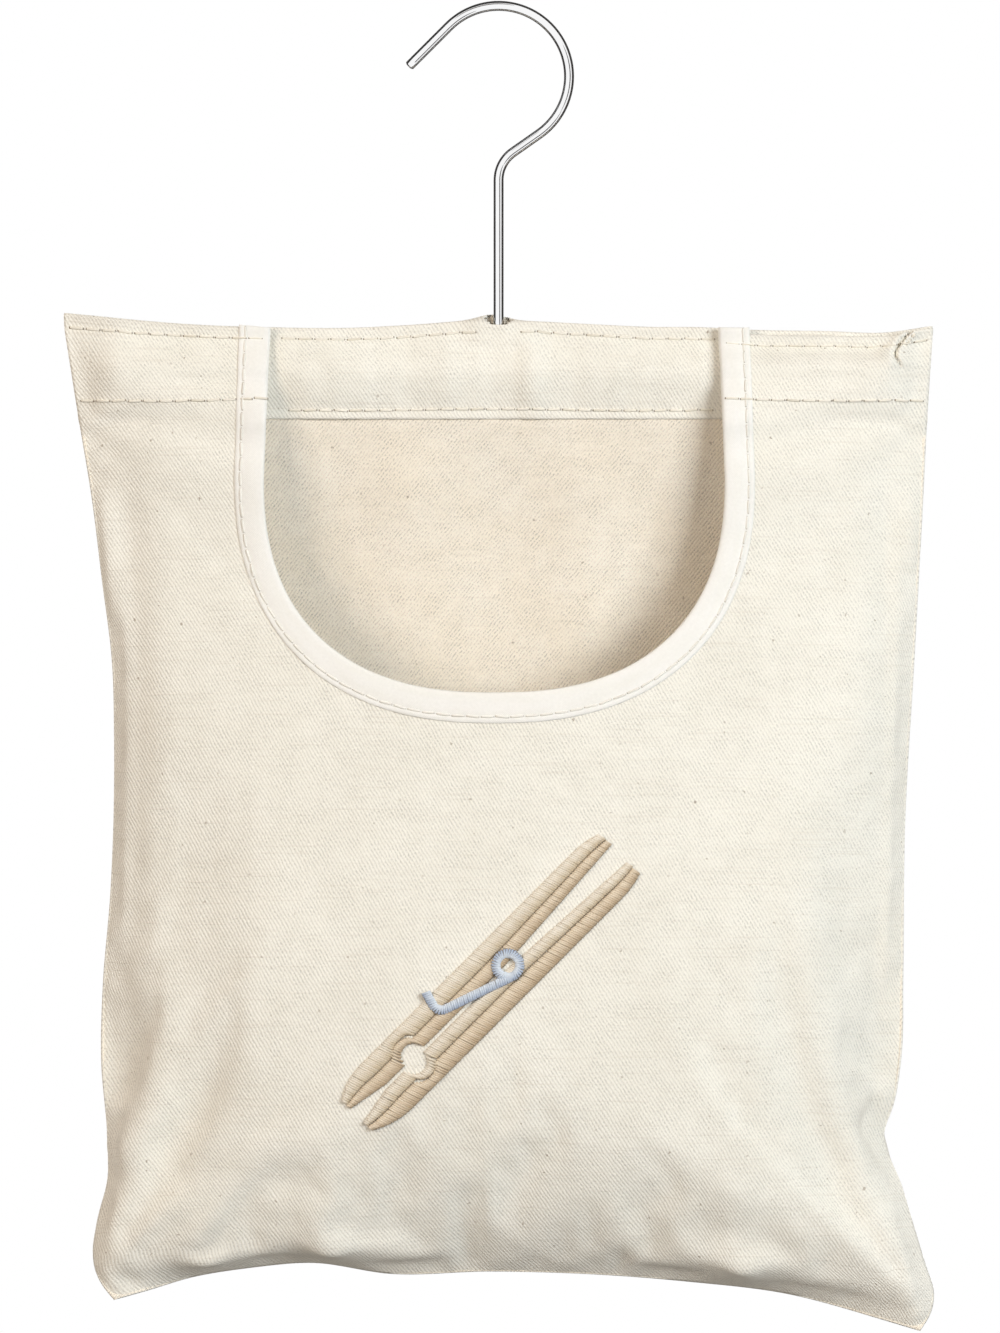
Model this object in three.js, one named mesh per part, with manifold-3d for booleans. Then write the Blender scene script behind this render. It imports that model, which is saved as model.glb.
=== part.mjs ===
// A hanging peg bag: two cotton twill panels sewn into a pocket, a bound mouth in the front,
// and a wooden dowel in the top casing that hangs from a swivelling steel wire hook.
// Sizes are in millimetres. +Z is up and the mouth faces -Y. The origin is the point inside
// the top of the hook where the washing line bears, straight above the hook's stem.
import * as THREE from "three";
import { mergeVertices } from "three/addons/utils/BufferGeometryUtils.js";
import Module from "manifold-3d";

const wasm = await Module();
wasm.setup();

// Clearances
const CLEARANCE = 0.3; // between pieces that bear on each other
const LAYER_GAP = 0.4; // between two layers of cloth that lie together
const WELD = 1e-4; // vertices closer than this are one

// Hook
const WIRE = 3.8; // wire diameter
const HOOK_RADIUS = 24.8; // of the wire's centreline
const HOOK_TIP = 20; // straight end past the bend
const TIP_ANGLE = 135; // where the bend ends, in degrees round from +X
const NECK_ANGLE = -55; // where the bend begins
const NECK_BEND = 12; // radius between the neck and the stem
const HOOK_RISE = 87.5; // from the bag's top edge to the bend's centre
const COLLAR_WIDTH = 6; // swaged on the stem, above the dowel's core
const COLLAR_HEIGHT = 1.4;
const RIVET_WIDTH = 6; // the stem's hammered end
const RIVET_HEIGHT = 1.3;
const WASHER_WIDTH = 7.4;
const WASHER_HEIGHT = 0.8;

// Dowel
const DOWEL = 10; // diameter
const DOWEL_CORE = 4.6; // wood left between the two counterbores
const CASING_TAPER = 13; // from a side seam to where the casing is fully open
const DOWEL_END = 6; // from there to the dowel's end

// Bag
const CLOTH = 0.8; // thickness of the twill
const BAG_WIDTH = 305; // along the top edge
const BAG_HEIGHT = 334; // from the top edge to the middle of the bottom seam
const CORNER_DROP = 15; // how far the bottom corners hang below the middle
const CORNER_POWER = 3; // how late the bottom seam turns down to its corners
const WAIST_WIDTH = 280;
const WAIST_DROP = 150; // below the top edge
const ANKLE_WIDTH = 275;
const ANKLE_DROP = 285;
const FOOT_WIDTH = 292;
const FOOT_DROP = 330;
const CORNER_WIDTH = 284;
const FRONT_BULGE = 31; // how far the front panel stands out of the seams' plane
const BACK_BULGE = 32;
const BULGE_EDGE = 0.42; // roundness towards the side seams
const BULGE_FOOT = 0.67; // roundness towards the bottom seam
const BULGE_HEAD = 1.05; // and towards the casing
const HEM_BLEND = 60; // height in which the hem's layers run out below the casing

// Casing and hems
const EDGE_STITCH = 4; // from the top edge to the edge stitching
const CASING_EASE = 8; // cloth above and below the dowel, inside the casing
const HEM_TURNING = 3.3; // cloth below the casing's lower stitching
const EAR_HEM = 27; // depth of the turned hem on the front panel's ears
const EAR_TURNING = 3;
const EAR_EASE = 0.8; // how loosely the ears' binding lies in front of the casing
const SLIT_LENGTH = 11; // slit in the top edge that lets the hook out
const SLIT_ROOM = 0.7; // round the wire, front and back
const SLIT_DEPTH = 0.5; // below the fold
const STEM_SPREAD = 18; // how far to each side the cloth stays parted round the stem

// Mouth
const MOUTH_WIDTH = 163;
const MOUTH_TOP_WIDTH = 159;
const MOUTH_ROUND = 75.7; // height of the rounded lower part
const MOUTH_DEPTH = 130; // from the top edge to the lowest point
const MOUTH_POWER = 2.4; // 2 is an ellipse, more is squarer
const BINDING_WIDTH = 10;
const BINDING = 0.5; // thickness of the tape
const BINDING_EASE = 0.5; // between the tape and the cloth that it covers
const BINDING_END = 1.6; // from the top edge to the tape's ends
const BINDING_STITCH = 7.6; // from the mouth's edge

// Seams and thread
const SEAM_WIDTH = 8; // allowance turned inside and oversewn
const SEAM_THICKNESS = 1;
const SEAM_SET = 2; // from the seam to the allowance
const SEAM_END = 12; // the allowances stop this far from the bottom corners
const THREAD = 0.5;
const THREAD_END = 2; // thread runs stop this far from an edge

// Embroidery
const MOTIF_X = -3.5; // the embroidered peg's middle
const MOTIF_DROP = 231; // below the top edge
const MOTIF_TURN = 45; // degrees by which the peg rises to the right
const STITCH_HEIGHT = 0.6; // how far satin stitch stands off what it lies on
const PEG_LENGTH = 129;
const PEG_DEPTH = 11.8; // from the peg's middle line to its back
const PEG_GAP = 1.2; // between the peg's two halves
const JAW_TAPER = 14; // length of the jaws' tapered tips
const JAW_INSIDE = 2.6; // how far the tips are cut back on their insides
const JAW_OUTSIDE = 4.2; // and on their backs
const NOTCH_AT = 28; // from the tips to the round notch for the line
const NOTCH_RADIUS = 4.6;
const PIVOT_AT = 72; // from the tips to where the handles part
const HANDLE_GAP = 8; // between the handles' ends
const HANDLE_TAPER = 11; // length of the handles' rounded ends
const HANDLE_OUTSIDE = 1.8; // how far the ends are cut back
const SPRING_WIDTH = 3.3;
const COIL_AT = 74; // from the tips to the middle of the spring's coil
const COIL_RADIUS = 4.2;
const COIL_TURN = 285; // degrees of the coil that show beside the arm
const ARM_AT = 45; // from the tips to the bend in the spring's arm
const ARM_SIDE = 5.5; // from the peg's middle line to that bend
const ARM_ROUND = 3.5; // how early the bend begins
const ARM_HOOK = 1.4; // how far the arm's end passes the peg's back
const ARM_LEAN = 2; // and how far it leans to the handles

// Fineness
const PANEL_COLUMNS = 22;
const PANEL_ROWS = 18;
const CROWDING = 0.6; // how much rows and columns crowd towards a panel's edges
const MOUTH_STEPS = 40;
const HOOK_STEPS = 64;
const WIRE_SEGMENTS = 6; // in half of the wire's outline
const ROUND_SIDES = 24;
const NOTCH_ROWS = 6;
const PEG_COLUMNS = 2;
const SPRING_STEPS = 48;
const RUN_STEP = 7; // length of a step along a seam, thread or line

// Levels and offsets that follow from the sizes
const bendZ = -(HOOK_RADIUS - WIRE / 2);
const topZ = bendZ - HOOK_RISE;
const edgeZ = topZ - EDGE_STITCH;
const casingRoom = DOWEL / 2 + CASING_EASE;
const dowelZ = edgeZ - casingRoom;
const casingZ = dowelZ - casingRoom;
const hemZ = casingZ - HEM_TURNING;
const earHemZ = topZ - EAR_HEM;
const mouthZ = topZ - MOUTH_DEPTH + MOUTH_ROUND;
const pitch = CLOTH + LAYER_GAP; // from one cloth layer to the next
const foldZ = topZ - CLOTH / 2 - pitch / 2; // where the top folds begin
const casingHalf = DOWEL / 2 + CLEARANCE + CLOTH / 2; // from the dowel's axis to the cloth
const casingLift = casingHalf - pitch / 2;
const stemLift = WIRE / 2 + SLIT_ROOM + CLOTH / 2 - pitch / 2;
const earStand = BINDING + BINDING_EASE + EAR_EASE;
const overCloth = CLOTH / 2 + CLEARANCE; // where a piece on the cloth begins

const MATERIALS = {
  twill: new THREE.MeshStandardMaterial({ color: 0xece2cf, roughness: 0.95 }),
  tape: new THREE.MeshStandardMaterial({ color: 0xfaf6ea, roughness: 0.9 }),
  thread: new THREE.MeshStandardMaterial({ color: 0xe6dcc6, roughness: 0.85 }),
  tan: new THREE.MeshStandardMaterial({ color: 0xdcc3a0, roughness: 0.55 }),
  blue: new THREE.MeshStandardMaterial({ color: 0xbccbe0, roughness: 0.5 }),
  wood: new THREE.MeshStandardMaterial({ color: 0xcfae7e, roughness: 0.7 }),
  steel: new THREE.MeshStandardMaterial({ color: 0xc9cbcd, roughness: 0.25, metalness: 1 }),
};

const { lerp, smoothstep } = THREE.MathUtils;
const bag = new THREE.Group();

function add(name, geometry, material) {
  const mesh = new THREE.Mesh(geometry, material);
  mesh.name = name;
  bag.add(mesh);
}

// A closed geometry as a solid that can be joined and cut.
function solid(geometry) {
  const bare = geometry.clone();
  bare.deleteAttribute("normal");
  bare.deleteAttribute("uv");
  const merged = mergeVertices(bare, WELD);
  const vertProperties = merged.attributes.position.array;
  const triVerts = new Uint32Array(merged.index.array);
  return new wasm.Manifold(new wasm.Mesh({ numProp: 3, vertProperties, triVerts }));
}

function geometryOf(made) {
  const mesh = made.getMesh();
  return indexed(mesh.vertProperties, mesh.triVerts);
}

function indexed(positions, index) {
  return new THREE.BufferGeometry()
    .setAttribute("position", new THREE.BufferAttribute(new Float32Array(positions), 3))
    .setIndex(new THREE.BufferAttribute(new Uint32Array(index), 1));
}

// A closed slab between two grids of points, face on the side of columns x rows.
// Cells that filled() refuses are left open.
function slab(face, back, filled = () => true) {
  const rows = face.length;
  const columns = face[0].length;
  const positions = [...face, ...back].flat().flatMap((p) => p.toArray());
  const index = [];
  const quad = (a, b, c, d) => index.push(a, b, c, a, c, d);
  const onFace = (i, j) => i * columns + j;
  const onBack = (i, j) => (rows + i) * columns + j;
  const has = (i, j) => i >= 0 && j >= 0 && i < rows - 1 && j < columns - 1 && filled(i, j);
  const wall = (i, j, k, l) => quad(onFace(i, j), onBack(i, j), onBack(k, l), onFace(k, l));
  for (let i = 0; i < rows - 1; i++) {
    for (let j = 0; j < columns - 1; j++) {
      if (!has(i, j)) continue;
      quad(onFace(i, j), onFace(i, j + 1), onFace(i + 1, j + 1), onFace(i + 1, j));
      quad(onBack(i, j), onBack(i + 1, j), onBack(i + 1, j + 1), onBack(i, j + 1));
      if (!has(i - 1, j)) wall(i, j, i, j + 1);
      if (!has(i + 1, j)) wall(i + 1, j + 1, i + 1, j);
      if (!has(i, j - 1)) wall(i + 1, j, i, j);
      if (!has(i, j + 1)) wall(i, j + 1, i + 1, j + 1);
    }
  }
  return mergeVertices(indexed(positions, index).toNonIndexed(), WELD);
}

// A sheet of even thickness whose middle runs through a grid of points.
function sheet(middle, thickness) {
  const last = middle.length - 1;
  const end = middle[0].length - 1;
  const normal = (i, j) => {
    const across = middle[i][Math.min(j + 1, end)].clone().sub(middle[i][Math.max(j - 1, 0)]);
    const along = middle[Math.min(i + 1, last)][j].clone().sub(middle[Math.max(i - 1, 0)][j]);
    return across.cross(along).normalize();
  };
  const offset = (by) =>
    middle.map((row, i) => row.map((p, j) => p.clone().addScaledVector(normal(i, j), by)));
  return slab(offset(thickness / 2), offset(-thickness / 2));
}

// A closed bar along a path of {at, normal}. profile(i) gives its outline at point i, with x
// to the path's side and y along the normal.
function sweep(path, profile) {
  const last = path.length - 1;
  const rings = path.map(({ at, normal }, i) => {
    const ahead = path[Math.min(i + 1, last)].at.clone().sub(path[Math.max(i - 1, 0)].at);
    const side = normal.clone().cross(ahead).normalize();
    const up = ahead.clone().cross(side).normalize();
    return profile(i).map((p) =>
      at.clone().addScaledVector(side, p.x).addScaledVector(up, p.y));
  });
  const count = rings[0].length;
  const index = [];
  for (let i = 0; i < last; i++) {
    for (let k = 0; k < count; k++) {
      const a = i * count + k;
      const b = i * count + ((k + 1) % count);
      index.push(a, b, b + count, a, b + count, a + count);
    }
  }
  for (const [a, b, c] of THREE.ShapeUtils.triangulateShape(profile(0), [])) index.push(a, c, b);
  for (const corners of THREE.ShapeUtils.triangulateShape(profile(last), [])) {
    index.push(...corners.map((k) => last * count + k));
  }
  return indexed(rings.flat().flatMap((p) => p.toArray()), index);
}

function rectangle(x0, x1, y0, y1) {
  return [[x0, y0], [x1, y0], [x1, y1], [x0, y1]].map(([x, y]) => new THREE.Vector2(x, y));
}

// Evenly spaced numbers, both ends included.
function spaced(from, to, steps) {
  return Array.from({ length: steps + 1 }, (_, i) => lerp(from, to, i / steps));
}

function stepsIn(length) {
  return Math.max(2, Math.ceil(Math.abs(length) / RUN_STEP));
}

// Half the bag's width at a height, through the widths that its outline is known by.
const outline = new THREE.CubicInterpolant(
  [0, WAIST_DROP, ANKLE_DROP, FOOT_DROP, BAG_HEIGHT + CORNER_DROP],
  [BAG_WIDTH, WAIST_WIDTH, ANKLE_WIDTH, FOOT_WIDTH, CORNER_WIDTH].map((width) => width / 2),
  1,
);

function halfWidth(z) {
  return outline.evaluate(topZ - z)[0];
}

// The bottom seam's height, where u runs from -1 at one side seam to 1 at the other.
function bottomZ(u) {
  return topZ - BAG_HEIGHT - CORNER_DROP * Math.min(1, Math.abs(u)) ** CORNER_POWER;
}

// How full the bag is at a point, from 0 at its seams and casing to 1.
function fullness(x, z) {
  const u = Math.min(1, Math.abs(x) / halfWidth(z));
  const low = bottomZ(u);
  const w = THREE.MathUtils.clamp((z - low) / (hemZ - low), 0, 1);
  const peak = BULGE_FOOT / (BULGE_FOOT + BULGE_HEAD);
  const most = peak ** BULGE_FOOT * (1 - peak) ** BULGE_HEAD;
  return ((1 - u * u) ** BULGE_EDGE * w ** BULGE_FOOT * (1 - w) ** BULGE_HEAD) / most;
}

// 0 at the side seams, 1 where the dowel holds the layers at their full distance.
function inFromSeam(x, z) {
  return smoothstep(halfWidth(z) - Math.abs(x), 0, CASING_TAPER);
}

// How much of the hem's spare layers is present at a height, from 0 to 1.
function hemShare(z) {
  return smoothstep(z, hemZ - HEM_BLEND, hemZ);
}

// How far the casing's layers are pushed apart, by the dowel between the two rows of stitching
// and by the hook's stem above it.
function swell(x, z) {
  const dowel = inFromSeam(x, z) * casingLift * (1 - smoothstep(Math.abs(z - dowelZ), 0, casingRoom));
  const stem = z < dowelZ ? 0 : stemLift * (1 - smoothstep(Math.abs(x), WIRE / 2, STEM_SPREAD));
  return Math.max(dowel, stem);
}

function backY(x, z) {
  const layers = pitch * (0.5 + (1 - inFromSeam(x, z)) * hemShare(z));
  return layers + swell(x, z) + BACK_BULGE * fullness(x, z);
}

// The back panel's turned-down hem, which closes the casing in front of the dowel.
function casingY(x, z) {
  return backY(x, z) - pitch - 2 * swell(x, z);
}

function frontY(x, z) {
  const inner = inFromSeam(x, z);
  const overDowel = earStand + casingLift * (1 - smoothstep(z, dowelZ, edgeZ));
  const layers = pitch / 2 + (pitch * (1 + inner) + overDowel * inner) * hemShare(z);
  return -layers - FRONT_BULGE * fullness(x, z);
}

function earHemY(x, z) {
  return frontY(x, z) + pitch;
}

// A point on one of those surfaces and the normal that faces the viewer.
function onSurface(surface, x, z) {
  const d = 0.5;
  const slopeX = (surface(x + d, z) - surface(x - d, z)) / (2 * d);
  const slopeZ = (surface(x, z + d) - surface(x, z - d)) / (2 * d);
  const at = new THREE.Vector3(x, surface(x, z), z);
  return { at, normal: new THREE.Vector3(slopeX, -1, slopeZ).normalize() };
}

// Columns across a panel, closer together near the side seams.
const columns = spaced(-1, 1, PANEL_COLUMNS).map((u) =>
  lerp(u, Math.sin((u * Math.PI) / 2), CROWDING));

// One row of a panel, at a height that may change across it.
function panelRow(surface, height) {
  return columns.map((u) => {
    const z = height(u);
    const x = u * halfWidth(z);
    return new THREE.Vector3(x, surface(x, z), z);
  });
}

// Rows from the bottom seam up to the hem.
function bodyRows(surface) {
  return spaced(0, 1, PANEL_ROWS).slice(0, -1).map((v) => {
    const up = lerp(v, smoothstep(v, 0, 1), CROWDING);
    return panelRow(surface, (u) => lerp(bottomZ(u), hemZ, up));
  });
}

// Heights up the casing, closer together round the dowel.
const casingLevels = [
  hemZ,
  ...[1, 0.65, 0.35, 0.15].map((s) => dowelZ - s * casingRoom),
  ...[0, 0.15, 0.35, 0.65, 1].map((s) => dowelZ + s * casingRoom),
  foldZ,
];

// Heights up the ears, from the top down.
const earLevels = [...casingLevels, earHemZ].sort((a, b) => b - a);

// Rows over the top, from one layer to the next one.
function foldRows(outer, inner) {
  return [60, 120].map((degrees) => {
    const angle = THREE.MathUtils.degToRad(degrees);
    return columns.map((u) => {
      const x = u * halfWidth(foldZ);
      const y = lerp(outer(x, foldZ), inner(x, foldZ), (1 - Math.cos(angle)) / 2);
      return new THREE.Vector3(x, y, foldZ + (pitch / 2) * Math.sin(angle));
    });
  });
}

// Half the mouth's width at a height.
function mouthHalf(z) {
  if (z >= mouthZ) {
    const up = (z - mouthZ) / (topZ - mouthZ);
    return lerp(MOUTH_WIDTH, MOUTH_TOP_WIDTH, up) / 2;
  }
  const down = Math.min(1, (mouthZ - z) / MOUTH_ROUND);
  return (MOUTH_WIDTH / 2) * (1 - down ** MOUTH_POWER) ** (1 / MOUTH_POWER);
}

// The mouth's edge, from its right end at a height down, round and up to its left end.
function mouthEdge(end) {
  const round = spaced(0, Math.PI, MOUTH_STEPS).map((angle) => {
    const cosine = Math.cos(angle);
    const x = Math.sign(cosine) * Math.abs(cosine) ** (2 / MOUTH_POWER) * (MOUTH_WIDTH / 2);
    return new THREE.Vector2(x, mouthZ - Math.sin(angle) ** (2 / MOUTH_POWER) * MOUTH_ROUND);
  });
  const sides = [
    end,
    ...earLevels.filter((z) => z < end),
    ...spaced(hemZ, mouthZ, stepsIn(hemZ - mouthZ)).slice(1, -1),
  ];
  const right = sides.map((z) => new THREE.Vector2(mouthHalf(z), z));
  const left = sides.map((z) => new THREE.Vector2(-mouthHalf(z), z)).reverse();
  return [...right, ...round, ...left];
}

// A wire bent in the XZ plane, as a path in space.
class UprightCurve extends THREE.Curve {
  constructor(flat) {
    super();
    this.flat = flat;
  }

  getPoint(t, target = new THREE.Vector3()) {
    const p = this.flat.getPoint(t);
    return target.set(p.x, 0, p.y);
  }
}

// A turned piece round the hook's stem, from its inner to its outer radius.
function turned(inner, outer, from, to) {
  const profile = [[inner, from], [outer, from], [outer, to], [inner, to]];
  if (inner > 0) profile.push(profile[0]);
  const points = profile.map(([radius, z]) => new THREE.Vector2(radius, z));
  return new THREE.LatheGeometry(points, ROUND_SIDES).rotateX(Math.PI / 2);
}

// Hook: stem, neck, bend and straight tip, with a collar and a riveted end on the stem
const coreTop = dowelZ + DOWEL_CORE / 2;
const coreFoot = dowelZ - DOWEL_CORE / 2;
const washerFoot = coreFoot - CLEARANCE - WASHER_HEIGHT;
const rivetTop = washerFoot - CLEARANCE;
const stemFoot = rivetTop - RIVET_HEIGHT;

function hookPath() {
  const neck = THREE.MathUtils.degToRad(NECK_ANGLE);
  const tip = THREE.MathUtils.degToRad(TIP_ANGLE);
  const neckLength = HOOK_RADIUS / -Math.tan(neck);
  const cornerZ = bendZ + HOOK_RADIUS * Math.sin(neck) - neckLength * Math.cos(neck);
  const stemTop = cornerZ - NECK_BEND * Math.tan(-neck / 2);
  const path = new THREE.Path();
  path.moveTo(0, stemFoot);
  path.lineTo(0, stemTop);
  path.absarc(NECK_BEND, stemTop, NECK_BEND, Math.PI, Math.PI + neck, true);
  path.absarc(0, bendZ, HOOK_RADIUS, neck, tip, false);
  const end = path.currentPoint;
  path.lineTo(end.x - HOOK_TIP * Math.sin(tip), end.y + HOOK_TIP * Math.cos(tip));
  return new UprightCurve(path);
}

const wireShape = new THREE.Shape().absarc(0, 0, WIRE / 2, 0, 2 * Math.PI);
const wire = new THREE.ExtrudeGeometry(wireShape, {
  steps: HOOK_STEPS,
  curveSegments: WIRE_SEGMENTS,
  extrudePath: hookPath(),
});
const collar = turned(0, COLLAR_WIDTH / 2, coreTop + CLEARANCE, coreTop + CLEARANCE + COLLAR_HEIGHT);
const rivet = turned(0, RIVET_WIDTH / 2, stemFoot, rivetTop);
add("hook", geometryOf(solid(wire).add(solid(collar)).add(solid(rivet))), MATERIALS.steel);

const boreRadius = WIRE / 2 + CLEARANCE;
add("hook_washer", turned(boreRadius, WASHER_WIDTH / 2, washerFoot, washerFoot + WASHER_HEIGHT),
  MATERIALS.steel);

// Dowel: a round bar with a bore for the stem and a counterbore at each end of it
const dowelLength = 2 * (halfWidth(dowelZ) - CASING_TAPER - DOWEL_END);
const rod = new THREE.CylinderGeometry(DOWEL / 2, DOWEL / 2, dowelLength, ROUND_SIDES)
  .rotateZ(Math.PI / 2)
  .translate(0, 0, dowelZ);
const bore = turned(0, boreRadius, dowelZ - DOWEL, dowelZ + DOWEL);
const collarSeat = turned(0, COLLAR_WIDTH / 2 + CLEARANCE, coreTop, dowelZ + DOWEL);
const washerSeat = turned(0, WASHER_WIDTH / 2 + CLEARANCE, dowelZ - DOWEL, coreFoot);
add("dowel", geometryOf([bore, collarSeat, washerSeat].reduce(
  (made, cutter) => made.subtract(solid(cutter)), solid(rod))), MATERIALS.wood);

// Back panel: up from the bottom seam, over the dowel and down again as the casing's front
const slit = new THREE.BoxGeometry(SLIT_LENGTH, WIRE + 2 * CLEARANCE, 2 * (topZ - foldZ + SLIT_DEPTH))
  .translate(0, 0, topZ);
const backSheet = sheet([
  ...bodyRows(backY),
  ...casingLevels.map((z) => panelRow(backY, () => z)),
  ...foldRows(backY, casingY),
  ...casingLevels.toReversed().map((z) => panelRow(casingY, () => z)),
], CLOTH);
add("back_panel", geometryOf(solid(backSheet).subtract(solid(slit))), MATERIALS.twill);

// Front panel: up from the bottom seam to the ears, whose top edges are turned in as a hem
const earFoot = earHemZ - EAR_TURNING;
const frontSheet = sheet([
  ...bodyRows(frontY),
  ...earLevels.toReversed().map((z) => panelRow(frontY, () => z)),
  ...foldRows(frontY, earHemY),
  ...earLevels.filter((z) => z >= earHemZ).map((z) => panelRow(earHemY, () => z)),
  panelRow(earHemY, () => earFoot),
], CLOTH);
const mouthShape = new THREE.Shape(mouthEdge(topZ + CLOTH));
const mouthDepth = FRONT_BULGE + casingHalf + earStand + 4 * pitch;
const mouth = new THREE.ExtrudeGeometry(mouthShape, { depth: mouthDepth, bevelEnabled: false })
  .rotateX(Math.PI / 2);
add("front_panel", geometryOf(solid(frontSheet).subtract(solid(mouth))), MATERIALS.twill);

// Binding: a tape folded over the mouth's edge, wider behind where the ears are double
const mouthPath = mouthEdge(topZ - BINDING_END);

function bindingProfile(i) {
  const ear = smoothstep(mouthPath[i].y, earFoot - BINDING_WIDTH, earFoot);
  const front = CLOTH / 2 + BINDING_EASE;
  const behind = -front - pitch * ear;
  const edge = -CLEARANCE;
  return [
    [edge - BINDING, behind - BINDING],
    [BINDING_WIDTH, behind - BINDING],
    [BINDING_WIDTH, behind],
    [edge, behind],
    [edge, front],
    [BINDING_WIDTH, front],
    [BINDING_WIDTH, front + BINDING],
    [edge - BINDING, front + BINDING],
  ].map(([x, y]) => new THREE.Vector2(x, y));
}

const onMouth = mouthPath.map((p) => onSurface(frontY, p.x, p.y));
add("mouth_binding", sweep(onMouth, bindingProfile), MATERIALS.tape);

// Seam allowances, inside the bag
const seamProfile = () => rectangle(0, SEAM_WIDTH, -SEAM_THICKNESS / 2, SEAM_THICKNESS / 2);

function seam(points) {
  const normal = new THREE.Vector3(0, -1, 0);
  return sweep(points.map(([x, z]) => ({ at: new THREE.Vector3(x, 0, z), normal })), seamProfile);
}

function sideSeam(side) {
  const heights = [bottomZ(1) + SEAM_END, hemZ - HEM_BLEND];
  const levels = spaced(...heights, stepsIn(heights[1] - heights[0]));
  const points = levels.map((z) => [side * (halfWidth(z) - SEAM_SET), z]);
  return seam(side > 0 ? points : points.reverse());
}

add("left_seam", sideSeam(-1), MATERIALS.twill);
add("right_seam", sideSeam(1), MATERIALS.twill);
const bottomReach = 1 - (SEAM_END + SEAM_WIDTH) / halfWidth(bottomZ(1));
add("bottom_seam", seam(spaced(-bottomReach, bottomReach, stepsIn(BAG_WIDTH)).map((u) => {
  const z = bottomZ(u) + SEAM_SET;
  return [u * halfWidth(z), z];
})), MATERIALS.twill);

// Rows of stitching, each a run of thread that lies on its cloth
function threadRun(path, lift) {
  return sweep(path, () => rectangle(-THREAD / 2, THREAD / 2, lift, lift + THREAD));
}

function levelRun(name, surface, z, from, to) {
  const between = columns.map((u) => u * halfWidth(z)).filter((x) => x > from && x < to);
  const path = [from, ...between, to].map((x) => onSurface(surface, x, z));
  add(name, threadRun(path, overCloth), MATERIALS.thread);
}

const casingEnd = mouthHalf(edgeZ) - THREAD_END;
levelRun("casing_edge_stitching_left", casingY, edgeZ, -casingEnd, -SLIT_LENGTH / 2 - THREAD_END);
levelRun("casing_edge_stitching_right", casingY, edgeZ, SLIT_LENGTH / 2 + THREAD_END, casingEnd);
levelRun("casing_hem_stitching", casingY, casingZ, -casingEnd, casingEnd);
for (const [kind, z] of [["edge", edgeZ], ["hem", earHemZ]]) {
  const inner = mouthHalf(z) + BINDING_WIDTH + CLEARANCE;
  const outer = halfWidth(z) * columns.at(-2);
  levelRun(`left_ear_${kind}_stitching`, frontY, z, -outer, -inner);
  levelRun(`right_ear_${kind}_stitching`, frontY, z, inner, outer);
}

const overBinding = CLOTH / 2 + BINDING_EASE + BINDING + CLEARANCE;
add("binding_stitching", sweep(onMouth, () =>
  rectangle(BINDING_STITCH, BINDING_STITCH + THREAD, overBinding, overBinding + THREAD)), MATERIALS.thread);

// Embroidery: a clothes peg with a wire spring, in satin stitch that stands on the front panel
const motifTurn = THREE.MathUtils.degToRad(MOTIF_TURN);

// The place on the front of a point on the peg: from its jaws' tips, and across from its middle.
function motifPoint(along, across) {
  const a = along - PEG_LENGTH / 2;
  return [
    MOTIF_X + a * Math.cos(motifTurn) - across * Math.sin(motifTurn),
    topZ - MOTIF_DROP + a * Math.sin(motifTurn) + across * Math.cos(motifTurn),
  ];
}

function stitched(points, base) {
  const raised = (by) => points.map((row) => row.map(([x, z]) => {
    const { at, normal } = onSurface(frontY, x, z);
    return at.addScaledVector(normal, by);
  }));
  return slab(raised(base + STITCH_HEIGHT), raised(base));
}

// From the peg's middle line to the inside of one of its halves.
function pegInside(along) {
  const jaw = JAW_INSIDE * (1 - Math.min(1, along / JAW_TAPER));
  const notch = Math.sqrt(Math.max(0, NOTCH_RADIUS ** 2 - (along - NOTCH_AT) ** 2));
  const parted = Math.max(0, (along - PIVOT_AT) / (PEG_LENGTH - PIVOT_AT));
  return jaw + notch + lerp(PEG_GAP, HANDLE_GAP, parted) / 2;
}

// And to its back.
function pegBack(along) {
  const jaw = 1 - Math.min(1, along / JAW_TAPER);
  const handle = 1 - Math.min(1, (PEG_LENGTH - along) / HANDLE_TAPER);
  return PEG_DEPTH - JAW_OUTSIDE * jaw ** 2 - HANDLE_OUTSIDE * handle ** 2;
}

const notchStops = spaced(Math.PI, 0, NOTCH_ROWS).map((a) => NOTCH_AT + NOTCH_RADIUS * Math.cos(a));
const pegStops = [0, JAW_TAPER, ...notchStops, PIVOT_AT, PEG_LENGTH - HANDLE_TAPER, PEG_LENGTH];
const pegRows = pegStops.flatMap((stop, i) =>
  i === 0 ? [stop] : spaced(pegStops[i - 1], stop, stepsIn(stop - pegStops[i - 1])).slice(1));

// side is 1 for the upper half and -1 for the lower one.
function pegHalf(side) {
  const rows = pegRows.map((along) => {
    const edges = [pegInside(along), pegBack(along)];
    const across = spaced(...(side > 0 ? edges.reverse() : edges), PEG_COLUMNS);
    return across.map((b) => motifPoint(along, side * b));
  });
  return stitched(rows, overCloth);
}

add("embroidered_peg_upper", pegHalf(1), MATERIALS.tan);
add("embroidered_peg_lower", pegHalf(-1), MATERIALS.tan);

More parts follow.
